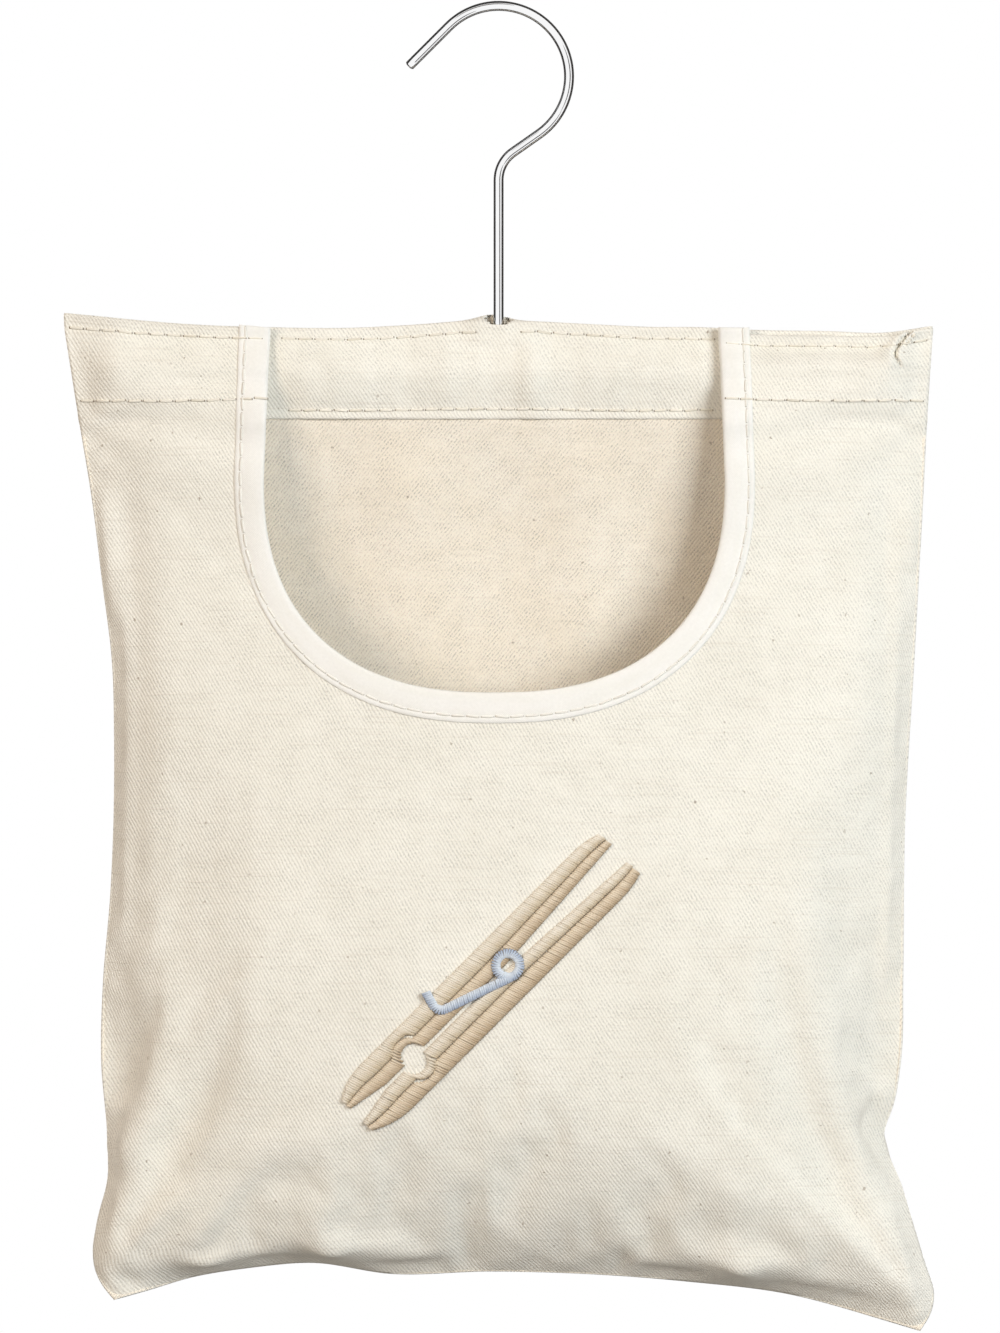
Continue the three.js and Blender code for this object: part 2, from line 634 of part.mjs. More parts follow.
// The spring's arm runs from a hook over the peg's back to the coil, which it meets from below.
function springPath() {
  const bend = new THREE.Vector2(ARM_AT, ARM_SIDE);
  const hook = new THREE.Vector2(ARM_AT + ARM_LEAN, PEG_DEPTH + ARM_HOOK);
  const coil = new THREE.Vector2(COIL_AT, 0).sub(bend);
  const heading = coil.angle() - Math.asin(COIL_RADIUS / coil.length());
  const before = hook.clone().sub(bend).setLength(ARM_ROUND).add(bend);
  const after = new THREE.Vector2(ARM_ROUND, 0).rotateAround(new THREE.Vector2(), heading).add(bend);
  const from = heading - Math.PI / 2;
  return new THREE.Path()
    .moveTo(hook.x, hook.y)
    .lineTo(before.x, before.y)
    .quadraticCurveTo(bend.x, bend.y, after.x, after.y)
    .absarc(COIL_AT, 0, COIL_RADIUS, from, from + THREE.MathUtils.degToRad(COIL_TURN), false);
}

const spring = springPath();
const springRows = [-SPRING_WIDTH / 2, SPRING_WIDTH / 2].map((off) =>
  spaced(0, 1, SPRING_STEPS).map((t) => {
    const at = spring.getPointAt(t);
    const ahead = spring.getTangentAt(t);
    return motifPoint(at.x - ahead.y * off, at.y + ahead.x * off);
  }));
add("embroidered_spring", stitched(springRows, overCloth + STITCH_HEIGHT + CLEARANCE), MATERIALS.blue);

export default bag;
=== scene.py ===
"""A cotton twill peg bag on a wire hook: its cloth, binding, stitching and embroidery."""
import math

import bpy
import numpy as np
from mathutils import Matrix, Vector


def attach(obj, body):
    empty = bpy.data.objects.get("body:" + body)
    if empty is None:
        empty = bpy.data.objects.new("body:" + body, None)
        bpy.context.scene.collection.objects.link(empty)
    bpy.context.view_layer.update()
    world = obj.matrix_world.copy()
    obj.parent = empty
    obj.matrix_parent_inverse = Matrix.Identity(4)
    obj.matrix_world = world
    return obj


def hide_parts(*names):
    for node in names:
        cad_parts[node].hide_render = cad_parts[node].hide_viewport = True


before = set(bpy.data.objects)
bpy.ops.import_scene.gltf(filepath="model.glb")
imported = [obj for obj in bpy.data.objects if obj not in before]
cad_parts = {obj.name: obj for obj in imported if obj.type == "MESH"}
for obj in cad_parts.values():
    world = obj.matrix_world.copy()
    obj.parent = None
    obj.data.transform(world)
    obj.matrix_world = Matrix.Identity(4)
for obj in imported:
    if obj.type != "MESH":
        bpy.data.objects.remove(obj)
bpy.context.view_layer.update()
scene = bpy.context.scene
rng = np.random.default_rng(7)

# Sizes in millimetres, in the part's own frame
MM = 0.001
WIRE = 3.8
HOOK_RADIUS = 24.8
HOOK_TIP = 20.0
TIP_ANGLE = 135
NECK_ANGLE = -55
NECK_BEND = 12.0
BEND_Z = -22.9
STEM_FOOT = -132.4
COLLAR = (3.0, -124.8, -123.4)  # radius, foot and top
RIVET = (3.0, -132.4, -131.1)

TOP = -110.4  # height of the bag's top edge
WIDTH = 305.0  # of a panel's flat cut
LENGTH = 349.0
POCKET_FROM = 230.0  # depth from which the pocket is drawn to its outline
CLOTH = 0.8
LAYER = 1.2  # from one cloth layer to the next
FOLD = LAYER / 2  # radius of a folded edge
FINE_STEP, COARSE_STEP = 1.0, 2.4  # of the cloth's mesh
EDGE_STITCH = 4.0  # depths below the top edge
DOWEL_DEPTH = 17.0
CASING_STITCH = 30.0
CASING = 33.3
CASING_TURNED = 7.0  # width of the turned edge
EAR_HEM = 27.0
EAR_TURNING = 30.0
CASING_ROOM = 13.0
CASING_LIFT = 5.1
STEM_LIFT = 2.4
STEM_SPREAD = 18.0
EAR_STAND = 1.8
SLIT = 11.0
SLIT_ROOM = 2.0  # from the slit's end to the stitching

MOUTH_X = -1.5
MOUTH_HALF = 81.5
MOUTH_TOP_HALF = 79.5
MOUTH_Z = -164.7
MOUTH_ROUND = 75.7
MOUTH_POWER = 2.4
MOUTH_MARGIN = 3.0  # from the tape's edge to the cloth's edge in it
TAPE_WIDTH = 10.0
TAPE_STITCH = 7.8
TAPE_RISE = 0.66  # its height over the cloth

STITCH = 4.9
STITCH_GAP = 0.5
STITCH_RADIUS = 0.42
STITCH_LIFT = 0.1
STITCH_SAG = 0.22
TAPE_STITCH_LIFT = 0.5
ROW_END = 1.5  # from an edge to the end of a row of stitching
SEAM_WIDTH = (1.5, 19.0)  # an allowance, from the seam inwards
SEAM_STEP = 2.5
SEAM_THICKNESS = 1.0
SEAM_END = 14.0  # the allowances stop this far from the bottom corners
SIDE_SEAM_TOP = 70.0

MOTIF = (-3.5, -341.4)  # the embroidered peg's middle
PEG_LENGTH = 129.0
PEG_DEPTH = 11.8
PEG_GAP = 1.2
JAW_TAPER = 14.0
JAW_INSIDE = 2.6
JAW_OUTSIDE = 4.2
NOTCH_AT = 28.0
NOTCH_RADIUS = 4.6
PIVOT_AT = 72.0
HANDLE_GAP = 8.0
HANDLE_TAPER = 11.0
HANDLE_OUTSIDE = 1.8
CREASE = 0.45  # where the two columns of stitches on each half meet
SPRING_WIDTH = 3.3
COIL_AT = 74.0
COIL_RADIUS = 4.2
ARM_BEND = (45.0, 5.5)
ARM_END = (47.0, 13.2)
ARM_ROUND = 3.5
SATIN_PITCH = 0.78
SATIN_RADIUS = 0.45
SATIN_LEAN = 0.18
PEG_CROWN = 1.3  # height of the padded stitches
SPRING_CROWN = 0.6
SPRING_BASE = 1.35

# The hanging bag's outline: (height, x) down each side and (x, height) along the bottom
LEFT_EDGE = [(-464, -134), (-453.6, -135.4), (-447, -140.5), (-439.5, -142.7), (-425.4, -141.3),
             (-411.3, -137.8), (-397.2, -137.8), (-369.1, -139.9), (-340.9, -139.2), (-312.8, -136.8),
             (-256.4, -135.3), (-228.3, -136.1), (-200.1, -139.6), (-172, -143.1), (-143.8, -147.7),
             (-110, -153)]
RIGHT_EDGE = [(-470, 143), (-464.5, 148.4), (-453.6, 153.3), (-439.5, 149.8), (-425.4, 145.6),
              (-411.3, 141.3), (-397.2, 135.7), (-383.2, 139.6), (-369.1, 141.7), (-340.9, 142.4),
              (-284.6, 143.1), (-228.3, 146.3), (-172, 149.4), (-143.8, 150.8), (-110, 153)]
BOTTOM_EDGE = [(-135.4, -453.6), (-122, -450), (-108, -446), (-87, -442.6), (-66, -440.9), (-38, -444.8),
               (-3, -444), (67, -447.6), (103, -452.1), (131, -459.5), (148.4, -464.5)]
TOP_SHIFT = [(-152, 4.3), (-138, 2.9), (-124, 1.5), (-103, 0), (-82, -0.7), (-54, -1), (-32, 0), (-11, 1.4),
             (10, 1.4), (31, 0.4), (52, -0.6), (73, -0.8), (87, -1.6), (115, -2.1), (136, -2.6), (152, -0.3)]
# Where the bottom seam gathers into tucks: across, and how far each is lifted in the cut
TUCKS = [(-110, 2.4), (-64, 3.0), (83, 2.6)]
# Where the side seams pinch: side, height and how far
PINCHES = [(1, -397, 2.4), (-1, -404, 1.6)]
# Soft folds and hollows: how far out or in, place across and width
CASING_FOLDS = [(2.0, 11, 6), (1.3, -20, 7), (0.7, 36, 9), (0.6, -52, 11)]
BACK_FOLDS = [(2.6, -34, 20), (2.2, 29, 18), (0.9, 64, 9)]
WAIST_HOLLOWS = [(5, -116, 18), (4, 127, 14)]


def smooth(x, low, high):
    t = np.clip((x - low) / (high - low), 0, 1)
    return t * t * (3 - 2 * t)


def bell(x, at, width):
    return np.exp(-(((x - at) / width) ** 2))


def curve(points, x):
    """A smooth curve through (x, y) points."""
    px, py = np.array(points, float).T
    slope = np.gradient(py, px)
    i = np.clip(np.searchsorted(px, x) - 1, 0, len(px) - 2)
    step = px[i + 1] - px[i]
    t = np.clip((x - px[i]) / step, 0, 1)
    rise = t * t * (3 - 2 * t)
    return (py[i] * (1 - rise) + py[i + 1] * rise
            + step * (slope[i] * t * (1 - t) ** 2 - slope[i + 1] * t * t * (1 - t)))


def folds(s, table):
    return sum(depth * bell(s, at, width) for depth, at, width in table)


def unit(v):
    return v / np.linalg.norm(v, axis=-1, keepdims=True)


def left_of(ahead):
    """Directions in a plane, a quarter turn to the left."""
    return np.stack([-ahead[:, 1], ahead[:, 0]], -1)


def run_of(path):
    """How far along a path each of its points lies."""
    return np.concatenate([[0], np.cumsum(np.linalg.norm(np.diff(path, axis=0), axis=1))])


def points_at(path, far):
    """The points that lie so far along a path."""
    return np.stack([np.interp(far, run_of(path), path[:, k]) for k in range(2)], -1)


def evenly(path, step):
    length = run_of(path)[-1]
    return points_at(path, np.linspace(0, length, max(2, round(length / step) + 1)))


def across_first(rows, columns):
    """The four-cornered faces of a grid of points that is numbered row by row."""
    first = np.arange(rows - 1)[:, None] * columns + np.arange(columns - 1)
    return np.stack([first, first + 1, first + columns + 1, first + columns], -1)


def full_turn(count):
    return np.linspace(0, 2 * math.pi, count, endpoint=False)


def ring_faces(rings, sides):
    """The four-cornered faces of a tube whose points are numbered ring by ring."""
    first = np.arange(rings - 1)[:, None] * sides
    here, beside = first + np.arange(sides), first + (np.arange(sides) + 1) % sides
    return np.stack([here, beside, beside + sides, here + sides], -1).reshape(-1, 4)


def end_faces(rings, sides, start=0):
    """The two faces that close such a tube."""
    last = start + (rings - 1) * sides
    return [list(range(start, start + sides))[::-1], list(range(last, last + sides))]


def joined(points, faces, more, more_faces):
    """Two meshes as one."""
    return np.concatenate([points, more]), faces + [[i + len(points) for i in face] for face in more_faces]


# The cloth at the top, before it falls free: s across the flat cut, t down from the top edge

def in_from_seam(s, room=CASING_ROOM):
    return smooth(WIDTH / 2 - np.abs(s), 0, room)


def swell(s, t):
    dowel = in_from_seam(s) * CASING_LIFT * (1 - smooth(np.abs(t - DOWEL_DEPTH), 0, CASING_ROOM))
    stem = np.where(t < DOWEL_DEPTH, STEM_LIFT * (1 - smooth(np.abs(s), WIRE / 2, STEM_SPREAD)), 0)
    return np.maximum(dowel, stem)


def ditch(t, at):
    """How a row of stitching draws the cloth in."""
    return 0.45 * bell(t, at, 1.3)


def drawn_forward(s, t):
    """How far the full pocket below draws the casing's hem in front of the dowel's middle."""
    return 3.2 * in_from_seam(s) * smooth(t, DOWEL_DEPTH, CASING_STITCH)


def past_lap(s, t, at):
    """How far right of the curved edge where the right ear's cloth laps over itself."""
    return s - at - 0.07 * (t - 8.5) ** 2


def held_x(s, t):
    return s * (1 - 0.09 * t / (WIDTH / 2))


def top_shift(s, t):
    return curve(TOP_SHIFT, s) * (1 - smooth(t, 2, 15))


def held_back(s, t):
    """The back's outer face over the dowel, with a hump where the hook comes out."""
    y = LAYER * (0.5 + 1 - in_from_seam(s)) + swell(s, t) + CLOTH / 2 - drawn_forward(s, t)
    y = y - ditch(t, EDGE_STITCH) - ditch(t, CASING_STITCH)
    hump = 3.4 * bell(s, -2, 8) * (1 - smooth(t, 0, 8))
    return np.stack([held_x(s, t), y, TOP - t + top_shift(s, t) + hump], -1)


def held_front(s, t):
    """The ears' outer face in front of the casing."""
    inner = in_from_seam(s, 18)
    over_dowel = EAR_STAND + CASING_LIFT * (1 - smooth(DOWEL_DEPTH - t, 0, CASING_ROOM))
    y = LAYER / 2 + LAYER * (1 + inner) + over_dowel * inner + CLOTH / 2
    y = y - ditch(t, EDGE_STITCH)
    y = y + 0.35 * np.sin(s / 7.3 + 1) * np.sin(s / 3.1) * (1 - smooth(t, 4, 16))  # puckers
    past = past_lap(s, t, 139.8)
    y = y + 1.5 * smooth(past, -0.5, 0.5) * (1 - smooth(past, 0.5, 9)) * (1 - smooth(t, 13, 18))
    y = y - 0.3 * bell(t, 1.5, 0.5) - 0.25 * bell(t, 2.7, 0.5)  # creases along the top
    drop = 0.6 + 1.4 * bell(s, 105, 40)  # the ears' top lies below the casing's
    return np.stack([held_x(s, t), -y, TOP - t + top_shift(s, t) - drop * (1 - smooth(t, 2, 15))], -1)


def casing(s, t, behind=0.0):
    """The turned-down front of the casing."""
    y = LAYER * (0.5 + 1 - in_from_seam(s)) - LAYER - swell(s, t) - CLOTH / 2 - drawn_forward(s, t)
    y = y + ditch(t, EDGE_STITCH) + ditch(t, CASING_STITCH)
    fall = smooth(t, 0, 6) * (1 - 0.6 * smooth(t, 24, 33))
    y = y - fall * folds(s, CASING_FOLDS)
    y = y - 0.25 * np.sin(s / 5.1) * np.sin(s / 2.3 + 2)  # puckers
    from_left = s - 0.27 * t + 78.2  # from the slanting fold beside the left ear
    y = y - 1.8 * fall * smooth(from_left, -7, 1) * (1 - smooth(from_left, 3, 45))
    x = held_x(s, t) + sample(shift, s, t)[..., 0]
    z = TOP - t + top_shift(s, t) - 0.9 * bell(s, 0, 7) * (1 - smooth(t, 0, 8))
    return np.stack([x, y + behind, z], -1)


# The cloth below, blown up from its flat cut as one pocket: front and back joined at the seams

COLUMNS = 60
ROWS = 70
STEPS = 45
cut_s = np.linspace(-WIDTH / 2, WIDTH / 2, COLUMNS + 1)
cut_t = np.linspace(0, LENGTH, ROWS + 1)


def cut_points(held, side, free_from):
    """A panel's points at the start: held at the top, flat and nearly touching below."""
    t, s = np.meshgrid(cut_t, cut_s, indexing="ij")
    top = held(s, np.minimum(t, free_from))
    inset = np.minimum(1, (WIDTH / 2 - np.abs(s)) / 13) * np.minimum(1, (LENGTH - t) / 13)
    low = side * (0.5 + 4 * inset)
    share = smooth(t, free_from, free_from + 40)
    x = held_x(s, np.minimum(t, CASING))
    y = top[..., 1] * (1 - share) + low * share
    z = np.where(t < CASING, held(s, t)[..., 2], TOP - t)
    for at, lift in TUCKS:
        z = z + lift * bell(s, at, 8) * bell(t, LENGTH, 20)
    for hand, height, depth in PINCHES:
        x = x - hand * depth * bell(TOP - t, height, 12) * bell(s, hand * WIDTH / 2, 30)
    return np.stack([x, y, z], -1)


def blown_up(points, faces, pinned):
    """The points once the cloth's weight and a little pressure have filled it out."""
    mesh = bpy.data.meshes.new("cut")
    mesh.from_pydata((points * MM).tolist(), [], faces)
    cut = bpy.data.objects.new("cut", mesh)
    scene.collection.objects.link(cut)
    cut.vertex_groups.new(name="pinned").add(pinned, 1, "REPLACE")
    cloth = cut.modifiers.new("cloth", "CLOTH")
    settings = cloth.settings
    settings.quality = 8
    settings.mass = 0.01
    settings.tension_stiffness = settings.compression_stiffness = 40
    settings.shear_stiffness = 10
    settings.bending_stiffness = 0.5
    settings.air_damping = 5
    settings.vertex_group_mass = "pinned"
    settings.use_pressure = True
    settings.uniform_pressure_force = 4.6
    cloth.collision_settings.use_collision = False
    cloth.point_cache.frame_end = STEPS
    for step in range(1, STEPS + 1):
        scene.frame_set(step)
    shaped = cut.evaluated_get(bpy.context.evaluated_depsgraph_get()).data
    found = np.empty(len(points) * 3)
    shaped.vertices.foreach_get("co", found)
    bpy.data.objects.remove(cut)
    bpy.data.meshes.remove(mesh)
    scene.frame_set(1)
    return found.reshape(-1, 3) / MM


def pocket():
    """The front's and the back's grids of points, filled out."""
    count = (ROWS + 1) * (COLUMNS + 1)
    front = np.arange(count).reshape(ROWS + 1, COLUMNS + 1)
    held = cut_t < CASING + 2
    sewn = np.zeros(front.shape, bool)
    sewn[~held, 0] = sewn[~held, -1] = True
    sewn[-1] = True
    back = front.copy()
    back[~sewn] = count + np.arange((~sewn).sum())
    points = np.empty((back.max() + 1, 3))
    points[back] = cut_points(held_back, 1, CASING)
    points[front] = cut_points(held_front, -1, DOWEL_DEPTH)
    pinned = np.concatenate([front[cut_t < 20].ravel(), back[held].ravel(), front[held][:, [0, -1]].ravel()])
    lid = np.stack([front[0], back[0]])
    cells = across_first(ROWS + 1, COLUMNS + 1).reshape(-1, 4)
    faces = np.concatenate([
        front.ravel()[cells][:, ::-1],
        back.ravel()[cells],
        lid.ravel()[across_first(2, COLUMNS + 1).reshape(-1, 4)],
    ])
    found = blown_up(points, faces.tolist(), np.unique(pinned).tolist())
    return found[front], found[back]


def outline_shift(front, back):
    """How far each point of the cut moves to bring the pocket to the bag's outline."""
    u = cut_s / (WIDTH / 2)
    ramp = smooth(cut_t, POCKET_FROM, LENGTH)[:, None]
    sides = []
    for column, edge, tip in ((0, LEFT_EDGE, BOTTOM_EDGE[0]), (-1, RIGHT_EDGE, BOTTOM_EDGE[-1])):
        seam = front[:, column]
        z = seam[:, 2] + ramp[:, 0] * (tip[1] - seam[-1, 2])
        x = curve(edge, z)
        x[-1] = tip[0]
        sides.append(np.stack([x - seam[:, 0], 0 * x, z - seam[:, 2]], -1))
    left, right = sides
    near_left = (((1 - u) / 2) ** 2)[None, :, None]
    near_right = (((1 + u) / 2) ** 2)[None, :, None]
    moved = near_left * left[:, None] + near_right * right[:, None]
    x = front[-1, :, 0] + moved[-1, :, 0]
    low = np.minimum(front[-18:, :, 2].min(0), back[-18:, :, 2].min(0))
    bottom = moved[-1].copy()
    bottom[:, 2] = curve(BOTTOM_EDGE, x) - low
    return moved + ramp[:, :, None] * (bottom - moved[-1])[None]


def sample(grid, s, t):
    """A grid's value at a place on the flat cut, smoothly between its points."""
    wide = np.concatenate([2 * grid[:1] - grid[1:2], grid, 2 * grid[-1:] - grid[-2:-1]])
    wide = np.concatenate([2 * wide[:, :1] - wide[:, 1:2], wide, 2 * wide[:, -1:] - wide[:, -2:-1]], 1)
    column = np.clip((s / WIDTH + 0.5) * COLUMNS, 0, COLUMNS)
    row = np.clip(t / LENGTH * ROWS, 0, ROWS)
    i = np.minimum(column.astype(int), COLUMNS - 1)
    j = np.minimum(row.astype(int), ROWS - 1)

    def weights(a):
        return (a * (-0.5 + a * (1 - 0.5 * a)), 1 + a * a * (1.5 * a - 2.5),
                a * (0.5 + a * (2 - 1.5 * a)), a * a * (0.5 * a - 0.5))

    total = 0
    for m, down in enumerate(weights(row - j)):
        for n, over in enumerate(weights(column - i)):
            total = total + (down * over)[..., None] * wide[j + m, i + n]
    return total


grids = dict(zip(("front", "back"), pocket()))
shift = outline_shift(grids["front"], grids["back"])


def panel(side, s, t):
    """The outer face of a panel at a place on its flat cut."""
    held, low, high = {"front": (held_front, 12, 19), "back": (held_back, 28, 34)}[side]
    free = smooth(t, low, high)[..., None]
    top = held(s, np.minimum(t, CASING))
    found = top * (1 - free) + sample(grids[side], s, t) * free + sample(shift, s, t)
    y = found[..., 1]
    y += 6 * in_from_seam(s, 30) * np.clip((t - LENGTH) / 30 + 1, 0, 1) ** 2  # the bottom rolls back
    if side == "back":
        hang = smooth(t, CASING, 60) * (1 - smooth(t, 95, 170))
        y -= hang * folds(s, BACK_FOLDS)
        upright = smooth(t, 50, 115) * (1 - smooth(t, 130, 230))
        y -= 4.5 * upright * bell(s, 0, 80)
    else:
        y -= 3.4 * in_from_seam(s, 30) * smooth(t, 28, 41) * (1 - smooth(t, 41, 85))  # full below the ears
        above_corners = 1 - smooth(t, 290, 325)
        y += 3 * smooth(t, 40, 80) * above_corners * bell(np.abs(s), 140, 8)  # drawn in beside the side seams
        y += smooth(t, 140, 200) * above_corners * folds(s, WAIST_HOLLOWS)
        past = past_lap(s, t, 139.4)
        y -= (1.9 * bell(past, -2.5, 3) - 2.2 * bell(past, 0, 0.6)) * (1 - smooth(t, 12, 17))
    return found


def on_front(s, t, lift):
    """Points that stand off the front's outer face."""
    d = 0.8
    along = panel("front", s + d, t) - panel("front", s - d, t)
    down = panel("front", s, t + d) - panel("front", s, t - d)
    return panel("front", s, t) + unit(np.cross(down, along)) * np.asarray(lift)[..., None]


def on_ear(s, t, lift):
    """As on_front, but over the tape at the mouth's edge."""
    out = np.abs(s - MOUTH_X) - MOUTH_TOP_HALF - TAPE_WIDTH
    return on_front(s, t, lift + TAPE_RISE * (1 - smooth(out, -0.3, 1.6)))


def on_casing(s, t, lift):
    return casing(s, t, -np.asarray(lift))


def cut_place(x, z):
    """The place on the front's flat cut that comes to lie at (x, z)."""
    s, t = x.copy(), TOP - z
    for _ in range(8):
        p = panel("front", s, t)
        s = s + x - p[..., 0]
        t = t + p[..., 2] - z
    return s, t


def mouth_half(z, margin=0.0):
    """Half of the mouth's width at a height."""
    up = np.clip((z - MOUTH_Z) / (TOP - MOUTH_Z), 0, 1.2)
    side = MOUTH_HALF + (MOUTH_TOP_HALF - MOUTH_HALF) * up + margin
    down = np.clip((MOUTH_Z - z) / (MOUTH_ROUND + margin), 0, 1)
    return side * (1 - down ** MOUTH_POWER) ** (1 / MOUTH_POWER)


# Shaders

RIB_PITCH = 1.41  # of the twill
TAPE_PITCH = 0.7  # of the tape's plain weave
# Seed flecks: size of the cells that hold one at most, share of empty cells, and darkness
FLECKS = [(9.0, 0.72, 0.6), (5.0, 0.80, 0.5), (2.6, 0.88, 0.4)]
FLECK_COLOR = (0.24, 0.17, 0.10, 1)
SLUB_COLOR = (0.70, 0.64, 0.54, 1)
# Painted shade in the needle holes and along the satin threads' lower ends
HOLE_SHADE_COLOR = (0.20, 0.15, 0.10, 1)


def node(tree, kind, inputs=(), **settings):
    made = tree.nodes.new("ShaderNode" + kind)
    for key, value in settings.items():
        setattr(made, key, value)
    for key, value in dict(inputs).items():
        if isinstance(value, bpy.types.NodeSocket):
            tree.links.new(value, made.inputs[key])
        else:
            made.inputs[key].default_value = value
    return made


def calc(tree, operation, a, b=0.0, c=0.0):
    return node(tree, "Math", {0: a, 1: b, 2: c}, operation=operation).outputs[0]


def ramp_of(tree, factor, low, high):
    return node(tree, "MapRange", {0: factor, 1: low, 2: high}, interpolation_type="SMOOTHSTEP").outputs[0]


def noise(tree, vector, scale, detail=2.0, rough=0.5):
    inputs = {"Vector": vector, "Scale": scale, "Detail": detail, "Roughness": rough}
    return node(tree, "TexNoise", inputs).outputs[0]


def stretched(tree, vector, x, y, z=1):
    return node(tree, "VectorMath", {0: vector, 1: (x, y, z)}, operation="MULTIPLY").outputs[0]


def mix(tree, factor, a, b, blend="MIX"):
    return node(tree, "Mix", {0: factor, 6: a, 7: b}, data_type="RGBA", blend_type=blend).outputs[2]


def seen_directly(tree):
    """1 for rays from the camera, reflections and glass, and 0 for rays that light the bag."""
    ray = node(tree, "LightPath").outputs
    sharp = calc(tree, "MAXIMUM", ray["Is Glossy Ray"], ray["Is Transmission Ray"])
    return calc(tree, "MAXIMUM", ray["Is Camera Ray"], sharp)


def cut_uv(tree):
    """A place on the flat cut, and its two parts."""
    uv = node(tree, "UVMap", uv_map="cut").outputs[0]
    return uv, *node(tree, "SeparateXYZ", {0: uv}).outputs[:2]


def shader(name, roughness, sheen=0.0, metallic=0.0, specular=0.5):
    look = bpy.data.materials.new(name)
    look.use_nodes = True
    bsdf = look.node_tree.nodes["Principled BSDF"]
    bsdf.inputs["Roughness"].default_value = roughness
    bsdf.inputs["Metallic"].default_value = metallic
    bsdf.inputs["Specular IOR Level"].default_value = specular
    if sheen:
        bsdf.inputs["Sheen Weight"].default_value = sheen
        bsdf.inputs["Sheen Roughness"].default_value = 0.5
    return look, look.node_tree, bsdf


def finish_shader(tree, bsdf, color, height, depth, strength=1.0):
    bump = node(tree, "Bump", {"Strength": strength, "Distance": depth * MM, "Height": height})
    tree.links.new(bump.outputs[0], bsdf.inputs["Normal"])
    tree.links.new(color, bsdf.inputs["Base Color"])


def twill_shader(name, pale, dark, slope, contrast):
    """Twill with diagonal ribs and painted shade in their valleys, uneven yarn, thick weft threads and seed
    flecks.
    """
    look, tree, bsdf = shader(name, 0.95, sheen=0.06, specular=0.15)
    uv, x, y = cut_uv(tree)
    wander = calc(tree, "MULTIPLY", noise(tree, uv, 0.22, 3), 5.0)
    diagonal = calc(tree, "SUBTRACT", x, calc(tree, "MULTIPLY", y, slope))
    rib = calc(tree, "SINE", calc(tree, "MULTIPLY_ADD", diagonal, 2 * math.pi / RIB_PITCH, wander))
    rib = calc(tree, "MULTIPLY_ADD", rib, 0.5, 0.5)
    grain = ramp_of(tree, noise(tree, stretched(tree, uv, 1.0, 0.75), 1.7, 2, 0.7), 0.36, 0.64)
    slub = ramp_of(tree, noise(tree, stretched(tree, uv, 0.03, 1.5), 1.0, 2, 0.6), 0.54, 0.70)
    height = calc(tree, "MULTIPLY_ADD", grain, 0.4, calc(tree, "MULTIPLY_ADD", slub, 0.5, rib))
    patch = noise(tree, uv, 0.03, 4, 0.6)
    color = mix(tree, ramp_of(tree, patch, 0.3, 0.7), dark, pale)
    # Painted shade in the valleys between the ribs, deeper in some patches and where the yarn is uneven
    valley_shade_depth = calc(tree, "MULTIPLY_ADD", ramp_of(tree, noise(tree, uv, 0.13, 2), 0.3, 0.7), 0.5, 0.7)
    uneven = calc(tree, "MULTIPLY_ADD", grain, 1.7, 0.15)
    valley = calc(tree, "MULTIPLY", calc(tree, "SUBTRACT", 1.0, rib), uneven)
    shade = calc(tree, "MULTIPLY_ADD", calc(tree, "MULTIPLY", valley, valley_shade_depth), -contrast, 1 + 0.45 * contrast)
    color = mix(tree, 1.0, color, shade, "MULTIPLY")
    color = mix(tree, calc(tree, "MULTIPLY", slub, 0.2), color, SLUB_COLOR)
    bent = node(tree, "TexNoise", {"Vector": uv, "Scale": 0.9, "Detail": 2.0}).outputs["Color"]
    place = node(tree, "VectorMath", {0: bent, 1: (1.5, 1.5, 0), 2: uv}, operation="MULTIPLY_ADD").outputs[0]
    for size, rare, dark_by in FLECKS:
        cell = node(tree, "TexVoronoi", {"Vector": place, "Scale": 1 / size}, voronoi_dimensions="2D")
        pick, girth, tone = node(tree, "SeparateColor", {0: cell.outputs["Color"]}).outputs
        reach = calc(tree, "MULTIPLY_ADD", girth, 0.035, 0.02)
        seed = calc(tree, "MULTIPLY", calc(tree, "LESS_THAN", cell.outputs["Distance"], reach),
                    calc(tree, "GREATER_THAN", pick, rare))
        seed = calc(tree, "MULTIPLY", seed, calc(tree, "MULTIPLY", tone, dark_by))
        color = mix(tree, seed, color, FLECK_COLOR)
    finish_shader(tree, bsdf, color, height, 0.1)
    return look


def tape_shader():
    look, tree, bsdf = shader("cotton_tape", 0.9, sheen=0.08, specular=0.2)
    uv, x, y = cut_uv(tree)
    warp = calc(tree, "SINE", calc(tree, "MULTIPLY", x, 2 * math.pi / TAPE_PITCH))
    weft = calc(tree, "SINE", calc(tree, "MULTIPLY", y, 2 * math.pi / TAPE_PITCH))
    weave = calc(tree, "MULTIPLY", warp, weft)
    grain = noise(tree, uv, 0.9, 3, 0.6)
    patch = noise(tree, stretched(tree, uv, 0.05, 0.25), 1.0, 3)
    color = mix(tree, ramp_of(tree, patch, 0.3, 0.7), (0.947, 0.945, 0.895, 1), (0.967, 0.967, 0.93, 1))
    color = mix(tree, 1.0, color, calc(tree, "MULTIPLY_ADD", grain, 0.12, 0.92), "MULTIPLY")
    height = calc(tree, "ADD", calc(tree, "MULTIPLY", weave, 0.3), calc(tree, "MULTIPLY", grain, 0.8))
    finish_shader(tree, bsdf, color, height, 0.12, 0.7)
    return look


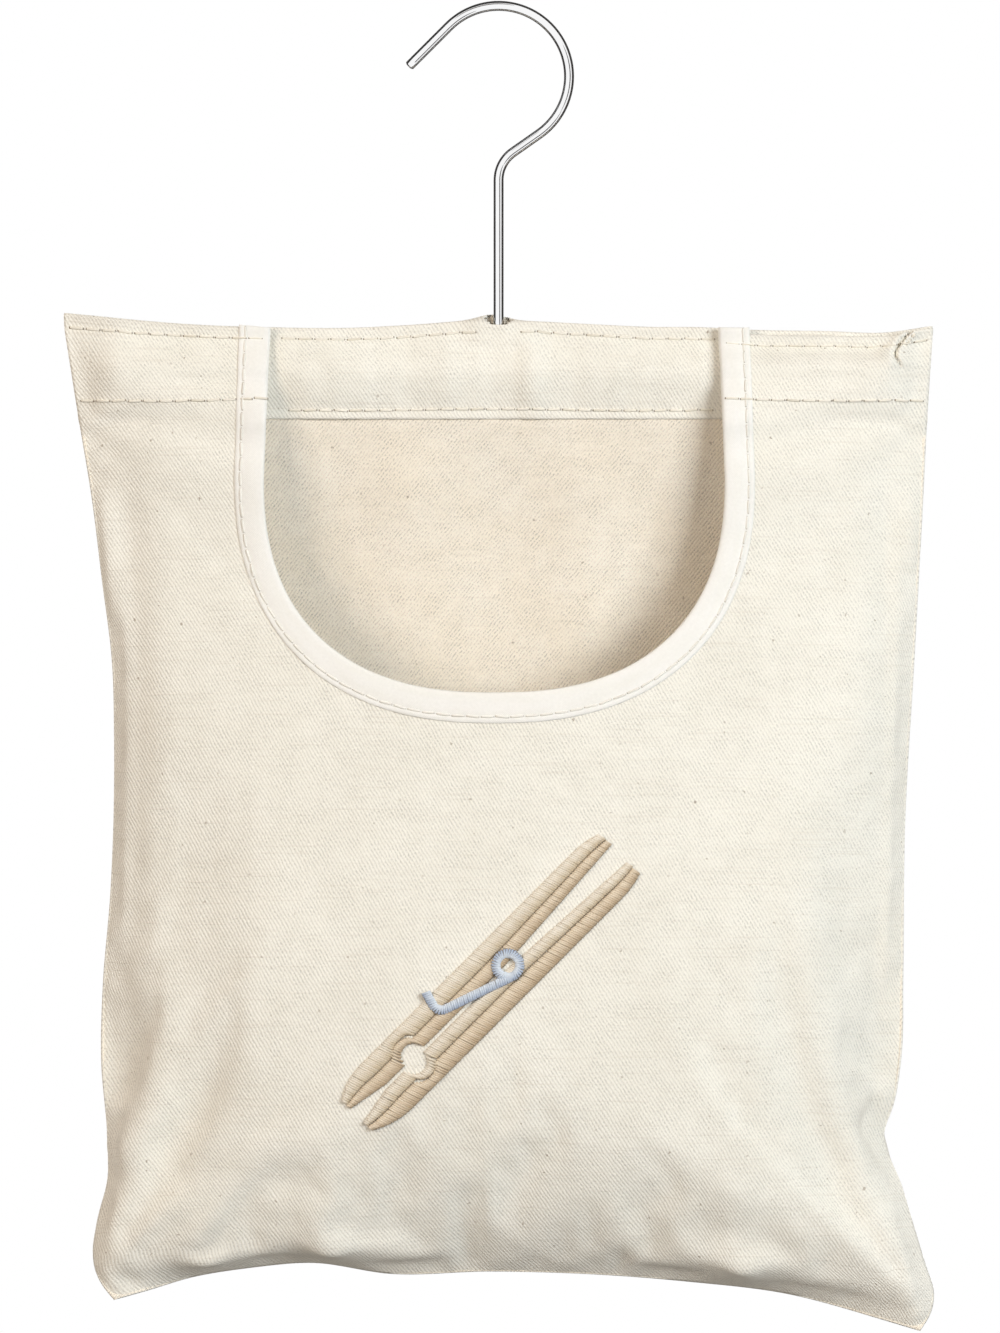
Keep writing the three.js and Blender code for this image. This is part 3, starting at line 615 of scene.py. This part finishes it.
def thread_shader(name, dark, pale, roughness, ends, sheen, padded=False):
    """Thread with painted shade at its needle holes; where it is padded, painted light towards its upper end
    and painted shade at its lower end.
    """
    look, tree, bsdf = shader(name, roughness, sheen=sheen, specular=0.35)
    _, along, which = cut_uv(tree)
    tone_and_roll_light = node(tree, "TexWhiteNoise", {"W": which}, noise_dimensions="1D").outputs["Value"]
    if padded:
        # painted light and shade on a padded roll: paler towards its upper end, with painted shade along its
        # lower end
        upper = calc(tree, "MULTIPLY", ramp_of(tree, along, 0.05, 0.85), 0.75)
        tone_and_roll_light = calc(tree, "MULTIPLY_ADD", tone_and_roll_light, 0.25, upper)
        end_shade = calc(tree, "SUBTRACT", 1.0, ramp_of(tree, along, 0.0, 0.11))
    else:
        # painted shade in the needle holes at both ends of a stitch
        end_shade = ramp_of(tree, calc(tree, "ABSOLUTE", calc(tree, "SUBTRACT", along, 0.5)), 0.40, 0.47)
    color = mix(tree, tone_and_roll_light, dark, pale)
    # ends sets how dark this painted shade is
    color = mix(tree, calc(tree, "MULTIPLY", end_shade, ends), color, HOLE_SHADE_COLOR)
    spot = node(tree, "TexCoord").outputs["Object"]
    fibre = noise(tree, spot, 2600, 2)
    color = mix(tree, 1.0, color, calc(tree, "MULTIPLY_ADD", fibre, 0.2, 0.9), "MULTIPLY")
    finish_shader(tree, bsdf, color, fibre, 0.08, 0.6)
    return look


def steel_shader():
    look, tree, bsdf = shader("bright_steel", 0.07, metallic=1.0)
    spot = node(tree, "TexCoord").outputs["Object"]
    drawn = noise(tree, stretched(tree, spot, 5000, 5000, 120), 1.0, 2)
    cloudy = noise(tree, spot, 60, 3)
    color = mix(tree, cloudy, (0.90, 0.90, 0.91, 1), (0.97, 0.97, 0.97, 1))
    tree.links.new(calc(tree, "MULTIPLY_ADD", cloudy, 0.06, 0.02), bsdf.inputs["Roughness"])
    finish_shader(tree, bsdf, color, drawn, 0.008, 0.05)
    return look


def wood_shader():
    look, tree, bsdf = shader("turned_softwood", 0.7)
    spot = node(tree, "TexCoord").outputs["Object"]
    grain = stretched(tree, spot, 14, 420, 420)
    rings = noise(tree, grain, 1.0, 4, 0.6)
    pores = noise(tree, stretched(tree, grain, 2.5, 5.0), 1.0, 2)
    color = mix(tree, ramp_of(tree, rings, 0.35, 0.65), (0.50, 0.34, 0.17, 1), (0.70, 0.53, 0.32, 1))
    pores = calc(tree, "MULTIPLY", ramp_of(tree, pores, 0.6, 0.75), 0.4)
    color = mix(tree, pores, color, (0.32, 0.20, 0.09, 1))
    finish_shader(tree, bsdf, color, rings, 0.1, 0.5)
    return look


TWILL = twill_shader("natural_twill", (0.927, 0.912, 0.833, 1), (0.887, 0.867, 0.783, 1), 0.64, 0.16)
# The cloth's reverse face inside the bag. Its paler, warmer colour also stands in for warm light bouncing
# round the inside (painted light), with more painted shade in its rib valleys
TWILL_INSIDE = twill_shader("reverse_twill_painted_bounce", (0.964, 0.910, 0.795, 1), (0.934, 0.866, 0.735, 1), 0.84, 0.24)
COTTON_TAPE = tape_shader()
SEWING = thread_shader("sewing_thread", (0.80, 0.76, 0.65, 1), (0.93, 0.90, 0.81, 1), 0.75, 0.9, 0.1)
TAPE_SEWING = thread_shader("tape_thread", (0.86, 0.84, 0.77, 1), (0.94, 0.93, 0.87, 1), 0.75, 0.3, 0.1)
# The satin threads' first colour is painted shade at a roll's lower end and the second painted light at its
# upper end; the two tan threads are lit and shaded copies of one tan, painted light and shade
SATIN_SHADED = thread_shader("shaded_satin_tan", (0.50, 0.37, 0.23, 1), (0.86, 0.77, 0.62, 1), 0.45, 0.6, 0.2, True)
SATIN_LIT = thread_shader("lit_satin_tan", (0.62, 0.51, 0.35, 1), (0.93, 0.89, 0.79, 1), 0.45, 0.6, 0.2, True)
BLUE = thread_shader("blue_satin", (0.42, 0.50, 0.64, 1), (0.74, 0.81, 0.88, 1), 0.45, 0.7, 0.2, True)
STEEL = steel_shader()
WOOD = wood_shader()


# Pieces

def add_piece(name, points, faces, body, looks, nodes, uv=None, which=None):
    mesh = bpy.data.meshes.new(name)
    mesh.from_pydata((np.asarray(points) * MM).tolist(), [], faces)
    mesh.polygons.foreach_set("use_smooth", np.ones(len(mesh.polygons), bool))
    if uv is not None:
        corner = np.empty(len(mesh.loops), int)
        mesh.loops.foreach_get("vertex_index", corner)
        mesh.uv_layers.new(name="cut").data.foreach_set("uv", np.asarray(uv, float)[corner].ravel())
    for look in looks:
        mesh.materials.append(look)
    if which is not None:
        mesh.polygons.foreach_set("material_index", which)
    piece = bpy.data.objects.new(name, mesh)
    scene.collection.objects.link(piece)
    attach(piece, body)
    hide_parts(*nodes)
    return piece


def thicken(piece, thickness, offset):
    solid = piece.modifiers.new("thickness", "SOLIDIFY")
    solid.thickness = thickness * MM
    solid.offset = offset


def hook_path():
    """Points of the wire's middle line, from the stem's foot to the tip."""
    neck, tip = math.radians(NECK_ANGLE), math.radians(TIP_ANGLE)
    corner = BEND_Z + HOOK_RADIUS * math.sin(neck) + HOOK_RADIUS / math.tan(neck) * math.cos(neck)
    stem_top = corner - NECK_BEND * math.tan(-neck / 2)
    stem = [(0, z) for z in np.linspace(STEM_FOOT, stem_top, 40)[:-1]]
    bend = np.linspace(math.pi, math.pi + neck, 14)
    neck_arc = [(NECK_BEND + NECK_BEND * math.cos(a), stem_top + NECK_BEND * math.sin(a)) for a in bend]
    turn = np.linspace(neck, tip, 64)
    arc = [(HOOK_RADIUS * math.cos(a), BEND_Z + HOOK_RADIUS * math.sin(a)) for a in turn]
    x, z = arc[-1]
    straight = [(x - d * math.sin(tip), z + d * math.cos(tip)) for d in np.linspace(0, HOOK_TIP, 12)[1:]]
    flat = np.array(stem + neck_arc + arc + straight)
    return np.stack([flat[:, 0], 0 * flat[:, 0], flat[:, 1]], -1)


def tube(path, radii, sides):
    """A closed tube along a path in the XZ plane."""
    across = np.cross(unit(np.gradient(path, axis=0)), [0.0, 1.0, 0.0])
    turn = full_turn(sides)[None, :, None]
    ring = np.cos(turn) * across[:, None] + np.sin(turn) * np.array([0, 1.0, 0])
    points = (path[:, None] + ring * radii[:, None, None]).reshape(-1, 3)
    return points, ring_faces(len(path), sides).tolist() + end_faces(len(path), sides)


def make_hook():
    sides = 28
    path = hook_path()
    radii = np.full(len(path), WIRE / 2)
    radii[-1] = WIRE / 2 - 0.5  # the tip's edge is broken
    path[-2] = path[-1] + (path[-2] - path[-1]) * 0.3
    points, faces = tube(path, radii, sides)
    for radius, foot, top in (COLLAR, RIVET):
        levels = np.array([foot, foot, foot + 0.3, top - 0.3, top, top])
        profile = np.array([0.3, 0.9, 1, 1, 0.9, 0.3]) * radius
        axis = np.stack([0 * levels, 0 * levels, levels + np.arange(6) * 1e-4], -1)
        points, faces = joined(points, faces, *tube(axis, profile, sides))
    add_piece("wire_hook", points, faces, "hook", [STEEL], ["hook"])


def spread(*stops):
    """Distances through stops, each with the step that leads to it."""
    found = [stops[0]]
    for stop, step in stops[1:]:
        count = max(1, round(abs(stop - found[-1]) / step))
        found += np.linspace(found[-1], stop, count + 1)[1:].tolist()
    return np.array(found)


def measured(points, axis, start):
    """How far along the cloth each point lies from the row or column at start."""
    steps = np.linalg.norm(np.diff(points, axis=axis), axis=-1)
    far = np.cumsum(np.insert(steps, 0, 0, axis=axis), axis=axis)
    return far - np.take(far, [start], axis=axis)


def weave_place(along, points):
    """Where each point lies in the weave, which stays as dense where the pocket is drawn to its outline."""
    s, t = np.broadcast_arrays(fine_s[None], along[:, None])
    start = np.abs(along - POCKET_FROM).argmin()
    low = smooth(t, POCKET_FROM, POCKET_FROM + 50)
    s = s + low * (measured(points, 1, np.abs(fine_s).argmin()) - s)
    t = np.where(t > along[start], along[start] - measured(points, 0, start), t)
    return np.stack([s, t], -1)


def sheet_piece(name, rows, keep, node_name, mirror):
    """A cloth panel from rows of (distance along the cut, points), less the cells that aren't kept."""
    along = np.array([row[0] for row in rows])
    points = np.stack([row[1] for row in rows])
    cells = across_first(*points.shape[:2])[keep(points)]
    if mirror:
        cells = cells[:, ::-1]
    uv = weave_place(along, points).reshape(-1, 2) * (-1 if mirror else 1, 1)
    used, faces = np.unique(cells, return_inverse=True)
    piece = add_piece(name, points.reshape(-1, 3)[used], faces.reshape(cells.shape).tolist(), "bag",
                      [TWILL, TWILL_INSIDE], [node_name], uv[used])
    thicken(piece, CLOTH, -1)
    piece.modifiers[0].material_offset = 1
    return piece


fine_s = spread(-WIDTH / 2, (-WIDTH / 2 + 6, FINE_STEP), (-8, COARSE_STEP), (8, FINE_STEP),
                (137, COARSE_STEP), (146, 0.5), (WIDTH / 2, FINE_STEP))


def all_across(t):
    """The places across the flat cut at one depth."""
    return fine_s, np.full_like(fine_s, t)


def make_back():
    """The back, up to the top fold, over it and down the casing to its turned edge."""
    rows = []
    for t in spread(LENGTH, (LENGTH - 8, FINE_STEP), (40, COARSE_STEP), (LAYER, 1.2)):
        rows.append((t, panel("back", *all_across(t))))
    behind = rows[-1][1]
    before = casing(*all_across(LAYER))
    for turn in np.radians([20, 45, 70, 90, 110, 135, 160]):
        over = (behind + before) / 2 + (behind - before) / 2 * math.cos(turn)
        over[:, 2] += LAYER * math.sin(turn)
        rows.append((-0.5 - turn, over))
    folded = len(rows)
    for t in spread(LAYER, (CASING - FOLD, 1.2)):
        rows.append((-2.5 - t, casing(*all_across(t))))
    for turn in np.radians([45, 90, 135]):
        t = CASING - FOLD + FOLD * math.sin(turn)
        rows.append((-CASING - 2 - turn, casing(*all_across(t), FOLD - FOLD * math.cos(turn))))
    for t in spread(CASING - FOLD, (CASING - CASING_TURNED, 1.6)):
        rows.append((-2 * CASING + t - 5, casing(*all_across(t), LAYER)))

    def keep(points):
        """All but the slit in the top fold."""
        middle = np.abs(fine_s[:-1] + fine_s[1:]) / 2
        wide = np.select([middle < 2.7, middle < 4.2, middle < SLIT / 2], [3.0, 2.0, 1.0], 0.0)
        from_top = np.abs(np.arange(len(points) - 1) - (folded - 4.5))
        return from_top[:, None] >= wide

    piece = sheet_piece("back_cloth", rows, keep, "back_panel", True)


def make_front():
    """The front, up to the ears' fold, over it and down the ears' hem."""
    rows = []
    for t in spread(LENGTH, (LENGTH - 8, FINE_STEP), (36, COARSE_STEP), (6, 1.2), (FOLD, 0.4)):
        rows.append((t, panel("front", *all_across(t))))
    for turn in np.radians([40, 90, 140]):
        bent = on_front(*all_across(FOLD), np.full_like(fine_s, -FOLD + FOLD * math.cos(turn)))
        bent[:, 2] += FOLD * math.sin(turn)
        rows.append((-turn / 2, bent))
    for t in spread(FOLD, (EAR_TURNING, 1.5)):
        rows.append((-1.6 - t, on_front(*all_across(t), np.full_like(fine_s, -LAYER))))

    def keep(points):
        """All but the mouth."""
        open_at = np.abs(points[..., 0] - MOUTH_X) < mouth_half(points[..., 2], MOUTH_MARGIN)
        return ~(open_at[:-1, :-1] | open_at[1:, :-1] | open_at[:-1, 1:] | open_at[1:, 1:])

    piece = sheet_piece("front_cloth", rows, keep, "front_panel", False)


def mouth_path():
    """The mouth's edge on the flat cut, evenly spaced, from the right ear to the left one."""
    turn = np.linspace(0, math.pi, 400)
    power = 2 / MOUTH_POWER
    round_x = np.sign(np.cos(turn)) * np.abs(np.cos(turn)) ** power * MOUTH_HALF
    round_z = MOUTH_Z - np.sin(turn) ** power * MOUTH_ROUND
    down = np.linspace(TOP - 1.0, MOUTH_Z, 80)[:-1]
    x = np.concatenate([mouth_half(down), round_x, -mouth_half(down)[::-1]]) + MOUTH_X
    z = np.concatenate([down, round_z, down[::-1]])
    s, t = cut_place(x, z)
    return evenly(np.stack([s, t], -1), 1.5)


def outward(path):
    """Directions away from the mouth along its edge."""
    ahead = np.gradient(path, axis=0)
    for _ in range(3):
        ahead[1:-1] = (ahead[:-2] + 2 * ahead[1:-1] + ahead[2:]) / 4
    return -left_of(unit(ahead))


def tape_section(ear):
    """The folded tape's outline, as (distance out from the mouth's edge, height over the cloth)."""
    back = -CLOTH - 0.05 - LAYER * ear
    outer = [(9.95, 0.05), (10.05, 0.2), (9.8, 0.42), (9.0, 0.60), (8.4, 0.56), (TAPE_STITCH, 0.42),
             (7.2, 0.60), (5.5, 0.78), (3.0, 0.80), (1.2, 0.72), (0.2, 0.55), (-0.5, 0.2)]
    under = [(-0.5, back + 0.1), (0.2, back - 0.35), (1.5, back - 0.5), (5.0, back - 0.55), (9.6, back - 0.5),
             (9.9, back - 0.2), (9.6, back)]
    inside = [(5.0, back), (0.5, back), (0.12, back + 0.3), (0.12, -0.1), (0.5, 0.05), (5.0, 0.06)]
    middle = [(-0.85, (0.2 + back) / 2)]
    return np.array(outer + middle + under + inside)


def make_tape(path):
    ear = 1 - smooth(path[:, 1], EAR_TURNING, EAR_TURNING + 8)
    sections = np.stack([tape_section(e) for e in ear])
    far = run_of(path)
    wave = 0.10 * np.sin(far / 4.7) * np.sin(far / 11 + 1)
    place = path[:, None] + outward(path)[:, None] * sections[..., :1]
    lift = sections[..., 1] + wave[:, None] * (sections[..., 1] > 0.1)
    points = on_front(place[..., 0], place[..., 1], lift).reshape(-1, 3)
    uv = np.stack(np.broadcast_arrays(far[:, None], run_of(sections[0])[None]), -1).reshape(-1, 2)
    grid = sections.shape[:2]
    faces = np.roll(ring_faces(*grid)[:, ::-1], 1, axis=1).tolist() + [end[::-1] for end in end_faces(*grid)]
    piece = add_piece("mouth_tape", points, faces, "bag", [COTTON_TAPE], ["mouth_binding"], uv)


def make_seam(name, path_s, path_t, inward, node_name):
    """A sewn allowance between the two panels, inside the bag."""
    across = np.linspace(*SEAM_WIDTH, 8)
    s = path_s[:, None] + inward[0] * across
    t = path_t[:, None] + inward[1] * across
    points = (panel("front", s, t) + panel("back", s, t)) / 2
    far = np.arange(len(path_s)) * SEAM_STEP
    points[..., 1] += 0.03 * across * np.sin(far / 6)[:, None]
    uv = np.stack([s, t], -1).reshape(-1, 2)
    faces = across_first(len(path_s), len(across)).reshape(-1, 4).tolist()
    piece = add_piece(name, points.reshape(-1, 3), faces, "bag", [TWILL], [node_name], uv)
    thicken(piece, SEAM_THICKNESS, 0)


def rolls(points, along):
    """Closed rolls of thread from their rings of points, with u along each roll and its number as v."""
    count, rings, sides, _ = points.shape
    one = ring_faces(rings, sides)
    faces = []
    for start in range(0, count * rings * sides, rings * sides):
        faces += (one + start).tolist() + end_faces(rings, sides, start)
    u = np.broadcast_to(along[None, :, None], points.shape[:3])
    v = np.broadcast_to(np.arange(count)[:, None, None], points.shape[:3])
    return points.reshape(-1, 3), faces, np.stack([u, v], -1).reshape(-1, 2)


def capsules(place, centre, ahead, lift, lengths):
    """Stitches as short bowed rolls of thread; place(s, t, lift) puts them on the cloth."""
    side = left_of(ahead)
    along = np.array([-0.5, -0.47, -0.36, -0.15, 0.15, 0.36, 0.47, 0.5])
    thick = np.array([0.6, 0.85, 1, 1, 1, 1, 0.85, 0.6])
    rise = STITCH_SAG * (1 - (2 * along) ** 4) - 0.5 * STITCH_SAG
    turn = full_turn(6)
    reach = along[None, :, None] * lengths[:, None, None] + 0 * turn
    over = STITCH_RADIUS * thick[None, :, None] * np.cos(turn)
    up = lift + rise[None, :, None] + STITCH_RADIUS * thick[None, :, None] * np.sin(turn)
    s = centre[:, None, None, 0] + ahead[:, None, None, 0] * reach + side[:, None, None, 0] * over
    t = centre[:, None, None, 1] + ahead[:, None, None, 1] * reach + side[:, None, None, 1] * over
    return rolls(place(s, t, np.broadcast_to(up, s.shape)), along + 0.5)


def make_stitches(name, node_name, place, path, lift=STITCH_LIFT, look=SEWING):
    """A row of stitches along a path on the flat cut."""
    path = evenly(path, 0.5)
    length = run_of(path)[-1]
    count = int((length - STITCH_GAP) / (STITCH + STITCH_GAP))
    pitch = length / count
    at = (np.arange(count) + 0.5) * pitch + rng.normal(0, 0.07, count)
    ahead = unit(points_at(path, at + 0.6) - points_at(path, at - 0.6))
    slant = rng.normal(0, 0.05, count)
    ahead = ahead + left_of(ahead) * slant[:, None]
    lengths = np.full(count, pitch - STITCH_GAP) + rng.normal(0, 0.08, count)
    points, faces, uv = capsules(place, points_at(path, at), ahead, lift, lengths)
    add_piece(name, points, faces, "bag", [look], [node_name], uv)


def level(start, end, t):
    """A nearly straight run across the cloth."""
    s = np.linspace(start, end, 60)
    return np.stack([s, t + 0.25 * np.sin(s / 17 + t)], -1)


def make_stitching(path):
    inner = MOUTH_TOP_HALF - 2 * ROW_END
    slit = SLIT / 2 + SLIT_ROOM
    make_stitches("casing_edge_stitches_left", "casing_edge_stitching_left", on_casing,
                  level(-inner, -slit, EDGE_STITCH))
    make_stitches("casing_edge_stitches_right", "casing_edge_stitching_right", on_casing,
                  level(slit, inner, EDGE_STITCH))
    make_stitches("casing_hem_stitches", "casing_hem_stitching", on_casing,
                  level(-inner, inner, CASING_STITCH))
    for hand, side in ((-1, "left"), (1, "right")):
        for kind, depth in (("edge", EDGE_STITCH), ("hem", EAR_HEM)):
            start = hand * (MOUTH_TOP_HALF + ROW_END) + MOUTH_X
            run = level(start, hand * (WIDTH / 2 - ROW_END), depth)
            make_stitches(f"{side}_ear_{kind}_stitches", f"{side}_ear_{kind}_stitching", on_ear, run)
    on_tape = path + outward(path) * TAPE_STITCH
    make_stitches("tape_stitches", "binding_stitching", on_front, on_tape, TAPE_STITCH_LIFT, TAPE_SEWING)


# Embroidery in satin stitch

def on_motif(along, across):
    """Front-view places of points on the peg: from its jaws' tips, and across from its middle line."""
    a, b = (along - PEG_LENGTH / 2) / math.sqrt(2), across / math.sqrt(2)
    return np.stack([MOTIF[0] + a - b, MOTIF[1] + a + b], -1)


def peg_inside(along):
    """How far each half's inside lies from the middle line."""
    jaw = JAW_INSIDE * (1 - np.minimum(1, along / JAW_TAPER))
    notch = np.sqrt(np.maximum(0, NOTCH_RADIUS ** 2 - (along - NOTCH_AT) ** 2))
    parted = np.maximum(0, (along - PIVOT_AT) / (PEG_LENGTH - PIVOT_AT))
    return jaw + notch + (PEG_GAP + (HANDLE_GAP - PEG_GAP) * parted) / 2


def peg_back(along):
    """How far each half's back lies from the middle line."""
    jaw = 1 - np.minimum(1, along / JAW_TAPER)
    handle = 1 - np.minimum(1, (PEG_LENGTH - along) / HANDLE_TAPER)
    return PEG_DEPTH - JAW_OUTSIDE * jaw ** 2 - HANDLE_OUTSIDE * handle ** 2


def satin(start, end, crown, base):
    """Threads side by side from start to end points in front view, rising from a base to a crown."""
    along = np.array([0, 0.08, 0.3, 0.5, 0.7, 0.92, 1])
    rise = np.array([-0.1, 0.48, 0.92, 1, 0.92, 0.48, -0.1]) * crown
    jitter = rng.normal(0, 0.05, (2, len(start), 1))
    start, end = start + jitter[0], end + jitter[1]
    ahead = end - start
    length = np.linalg.norm(ahead, axis=1, keepdims=True)
    side = left_of(ahead) / length
    turn = full_turn(5)
    centre = start[:, None] + ahead[:, None] * along[None, :, None]
    flat = centre[:, :, None] + side[:, None, None] * (SATIN_RADIUS * np.cos(turn))[None, None, :, None]
    up = base + rise[None, :, None] + SATIN_RADIUS * np.sin(turn) + rng.normal(0, 0.02, (len(start), 1, 1))
    s, t = cut_place(flat[..., 0], flat[..., 1])
    return rolls(on_front(s, t, np.broadcast_to(up, s.shape)), along)


def make_peg(half, side):
    """Half of the peg in two columns of stitches that meet along a crease."""
    along = np.arange(0.2, PEG_LENGTH - 0.1, SATIN_PITCH)
    inside, back = peg_inside(along), peg_back(along)
    crease = inside + CREASE * (back - inside)
    points, faces, uv, which = np.empty((0, 3)), [], np.empty((0, 2)), []
    for look, (low, high) in enumerate(((crease, back), (inside, crease))):
        lean = SATIN_LEAN * side * (high - low)
        ends = [on_motif(np.clip(along + lean, 0, PEG_LENGTH), side * low),
                on_motif(np.clip(along - lean, 0, PEG_LENGTH), side * high)]
        more, more_faces, more_uv = satin(*ends[::side], PEG_CROWN, 0.0)
        points, faces = joined(points, faces, more, more_faces)
        which += [look] * len(more_faces)
        uv = np.concatenate([uv, more_uv + [0, 400 * look]])
    # The column lying further up and to the left gets the lit copy of the tan thread, the other the shaded
    # copy: painted light and shade
    looks = [SATIN_LIT, SATIN_SHADED] if side > 0 else [SATIN_SHADED, SATIN_LIT]
    add_piece(f"satin_peg_{half}", points, faces, "bag", looks, [f"embroidered_peg_{half}"],
              uv, which)


def spring_path():
    """The spring's middle line on the peg, from the hooked end of its arm to its coil."""
    bend, end = np.array(ARM_BEND), np.array(ARM_END)
    to_coil = np.array([COIL_AT, 0]) - bend
    far = np.linalg.norm(to_coil)
    heading = math.atan2(to_coil[1], to_coil[0]) - math.asin(COIL_RADIUS / far)
    before = bend + (end - bend) / np.linalg.norm(end - bend) * ARM_ROUND
    after = bend + np.array([math.cos(heading), math.sin(heading)]) * ARM_ROUND
    t = np.linspace(0, 1, 12)[:, None]
    corner = before * (1 - t) ** 2 + bend * 2 * t * (1 - t) + after * t ** 2
    turn = heading - math.pi / 2 + np.linspace(0, math.radians(352), 60)
    coil = np.stack([COIL_AT + COIL_RADIUS * np.cos(turn), COIL_RADIUS * np.sin(turn)], -1)
    return evenly(np.concatenate([end[None], corner, coil]), SATIN_PITCH)


def make_spring():
    path = spring_path()
    ahead = unit(np.gradient(path, axis=0))
    side = left_of(ahead) * SPRING_WIDTH / 2
    low, high = path - side - 0.3 * ahead, path + side + 0.3 * ahead
    points, faces, uv = satin(on_motif(*low.T), on_motif(*high.T), SPRING_CROWN, SPRING_BASE)
    add_piece("satin_spring", points, faces, "bag", [BLUE], ["embroidered_spring"], uv)


make_hook()
make_back()
make_front()
edge = mouth_path()
make_tape(edge)
make_stitching(edge)
make_peg("upper", 1)
make_peg("lower", -1)
make_spring()
down_side = np.arange(SIDE_SEAM_TOP, LENGTH - SEAM_END, SEAM_STEP)
make_seam("left_allowance", np.full_like(down_side, -WIDTH / 2), down_side, (1, 0), "left_seam")
make_seam("right_allowance", np.full_like(down_side, WIDTH / 2), down_side, (-1, 0), "right_seam")
along_foot = np.arange(-WIDTH / 2 + SEAM_END, WIDTH / 2 - SEAM_END, SEAM_STEP)
make_seam("bottom_allowance", along_foot, np.full_like(along_foot, LENGTH), (0, -1), "bottom_seam")
for name, look in (("dowel", WOOD), ("hook_washer", STEEL)):
    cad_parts[name].data.materials.clear()
    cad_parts[name].data.materials.append(look)


# Stage: pale floor, white surround, cards for the steel to mirror, soft studio light and the camera

AIM = (0, 0, -0.28)  # where the lamps point
LAMP_SIZE = 1.1


def add_stage(name, points, faces, look):
    mesh = bpy.data.meshes.new(name)
    mesh.from_pydata(points, [], faces)
    mesh.materials.append(look)
    piece = bpy.data.objects.new(name, mesh)
    scene.collection.objects.link(piece)
    return piece


def add_floor():
    half, z = 1.1, -2.5
    corners = [(-half, -half, z), (half, -half, z), (half, half, z), (-half, half, z)]
    look, tree, bsdf = shader("floor", 0.9, specular=0.1)
    bsdf.inputs["Base Color"].default_value = (0.86, 0.86, 0.85, 1)
    white = node(tree, "Emission", {"Color": (1, 1, 1, 1), "Strength": 1.0})
    share = calc(tree, "MULTIPLY", seen_directly(tree), 0.8)
    both = node(tree, "MixShader", {0: share, 1: bsdf.outputs[0], 2: white.outputs[0]})
    tree.links.new(both.outputs[0], tree.nodes["Material Output"].inputs["Surface"])
    add_stage("floor", corners, [(0, 1, 2, 3)], look)


def add_card(name, centre, profile, shade):
    """A round card or dish, from (radius, depth) pairs, seen only in the steel's reflections."""
    turn = full_turn(48)
    rings = [np.stack([r * np.cos(turn), 0 * turn + y, r * np.sin(turn)], -1) for r, y in profile]
    faces = ring_faces(len(profile), len(turn)).tolist()
    look, _, bsdf = shader(name, 0.9, specular=0.0)
    bsdf.inputs["Base Color"].default_value = (shade, shade, shade, 1)
    card = add_stage(name, (np.concatenate(rings) + centre).tolist(), faces, look)
    card.visible_camera = False
    card.visible_diffuse = False
    card.visible_shadow = False


def add_world():
    """A dim warm sky that lights the bag, behind a plain white that is seen."""
    world = bpy.data.worlds.new("surround")
    scene.world = world
    world.use_nodes = True
    tree = world.node_tree
    light = tree.nodes["Background"]
    height = node(tree, "SeparateXYZ", {0: node(tree, "TexCoord").outputs["Generated"]}).outputs[2]
    sky = mix(tree, ramp_of(tree, height, -0.5, 0.5), (0.10, 0.09, 0.08, 1), (0.36, 0.322, 0.288, 1))
    tree.links.new(sky, light.inputs["Color"])
    white = node(tree, "Background", {"Color": (1, 1, 1, 1), "Strength": 1.0})
    both = node(tree, "MixShader", {0: seen_directly(tree), 1: light.outputs[0], 2: white.outputs[0]})
    tree.links.new(both.outputs[0], tree.nodes["World Output"].inputs["Surface"])


def add_lamp(name, place, color, energy):
    data = bpy.data.lights.new(name, "AREA")
    data.size = LAMP_SIZE
    data.color = color
    data.energy = energy
    lamp = bpy.data.objects.new(name, data)
    lamp.location = place
    lamp.rotation_euler = (Vector(AIM) - Vector(place)).to_track_quat("-Z", "Y").to_euler()
    lamp.visible_glossy = False
    scene.collection.objects.link(lamp)


def add_camera():
    distance, frame_width = 3.0, 0.352
    data = bpy.data.cameras.new("camera")
    data.sensor_fit = "HORIZONTAL"
    data.sensor_width = 36.0
    data.lens = 36.0 * distance / frame_width
    camera = bpy.data.objects.new("camera", data)
    camera.location = (0.0005, -distance, -0.2306)
    camera.rotation_euler = (math.pi / 2, 0, 0)
    scene.collection.objects.link(camera)
    scene.camera = camera


add_floor()
add_card("dark_surround", (0, 0, -0.07), [(0.5, 0.5), (1.6, 0.5), (1.6, -0.74)], 0.07)
add_card("grey_front", (1.08, -2.2, 0.1), [(0.01, 0), (0.52, 0)], 0.12)
add_card("grey_low", (1.0, -2.2, -1.05), [(0.01, 0), (0.55, 0)], 0.12)
add_card("grey_top", (-0.4, -1.9, 2.0), [(0.01, 0), (0.8, 0)], 0.45)
add_world()
add_lamp("key", (1.5, -1.8, 0.2), (0.914, 0.952, 0.985), 42)
add_lamp("fill", (-1.7, -1.8, 0.3), (1.0, 0.865, 0.757), 26)
add_lamp("back", (-0.8, 2.2, 0.5), (1.0, 0.96, 0.92), 48)
add_camera()
scene.view_settings.view_transform = "Standard"
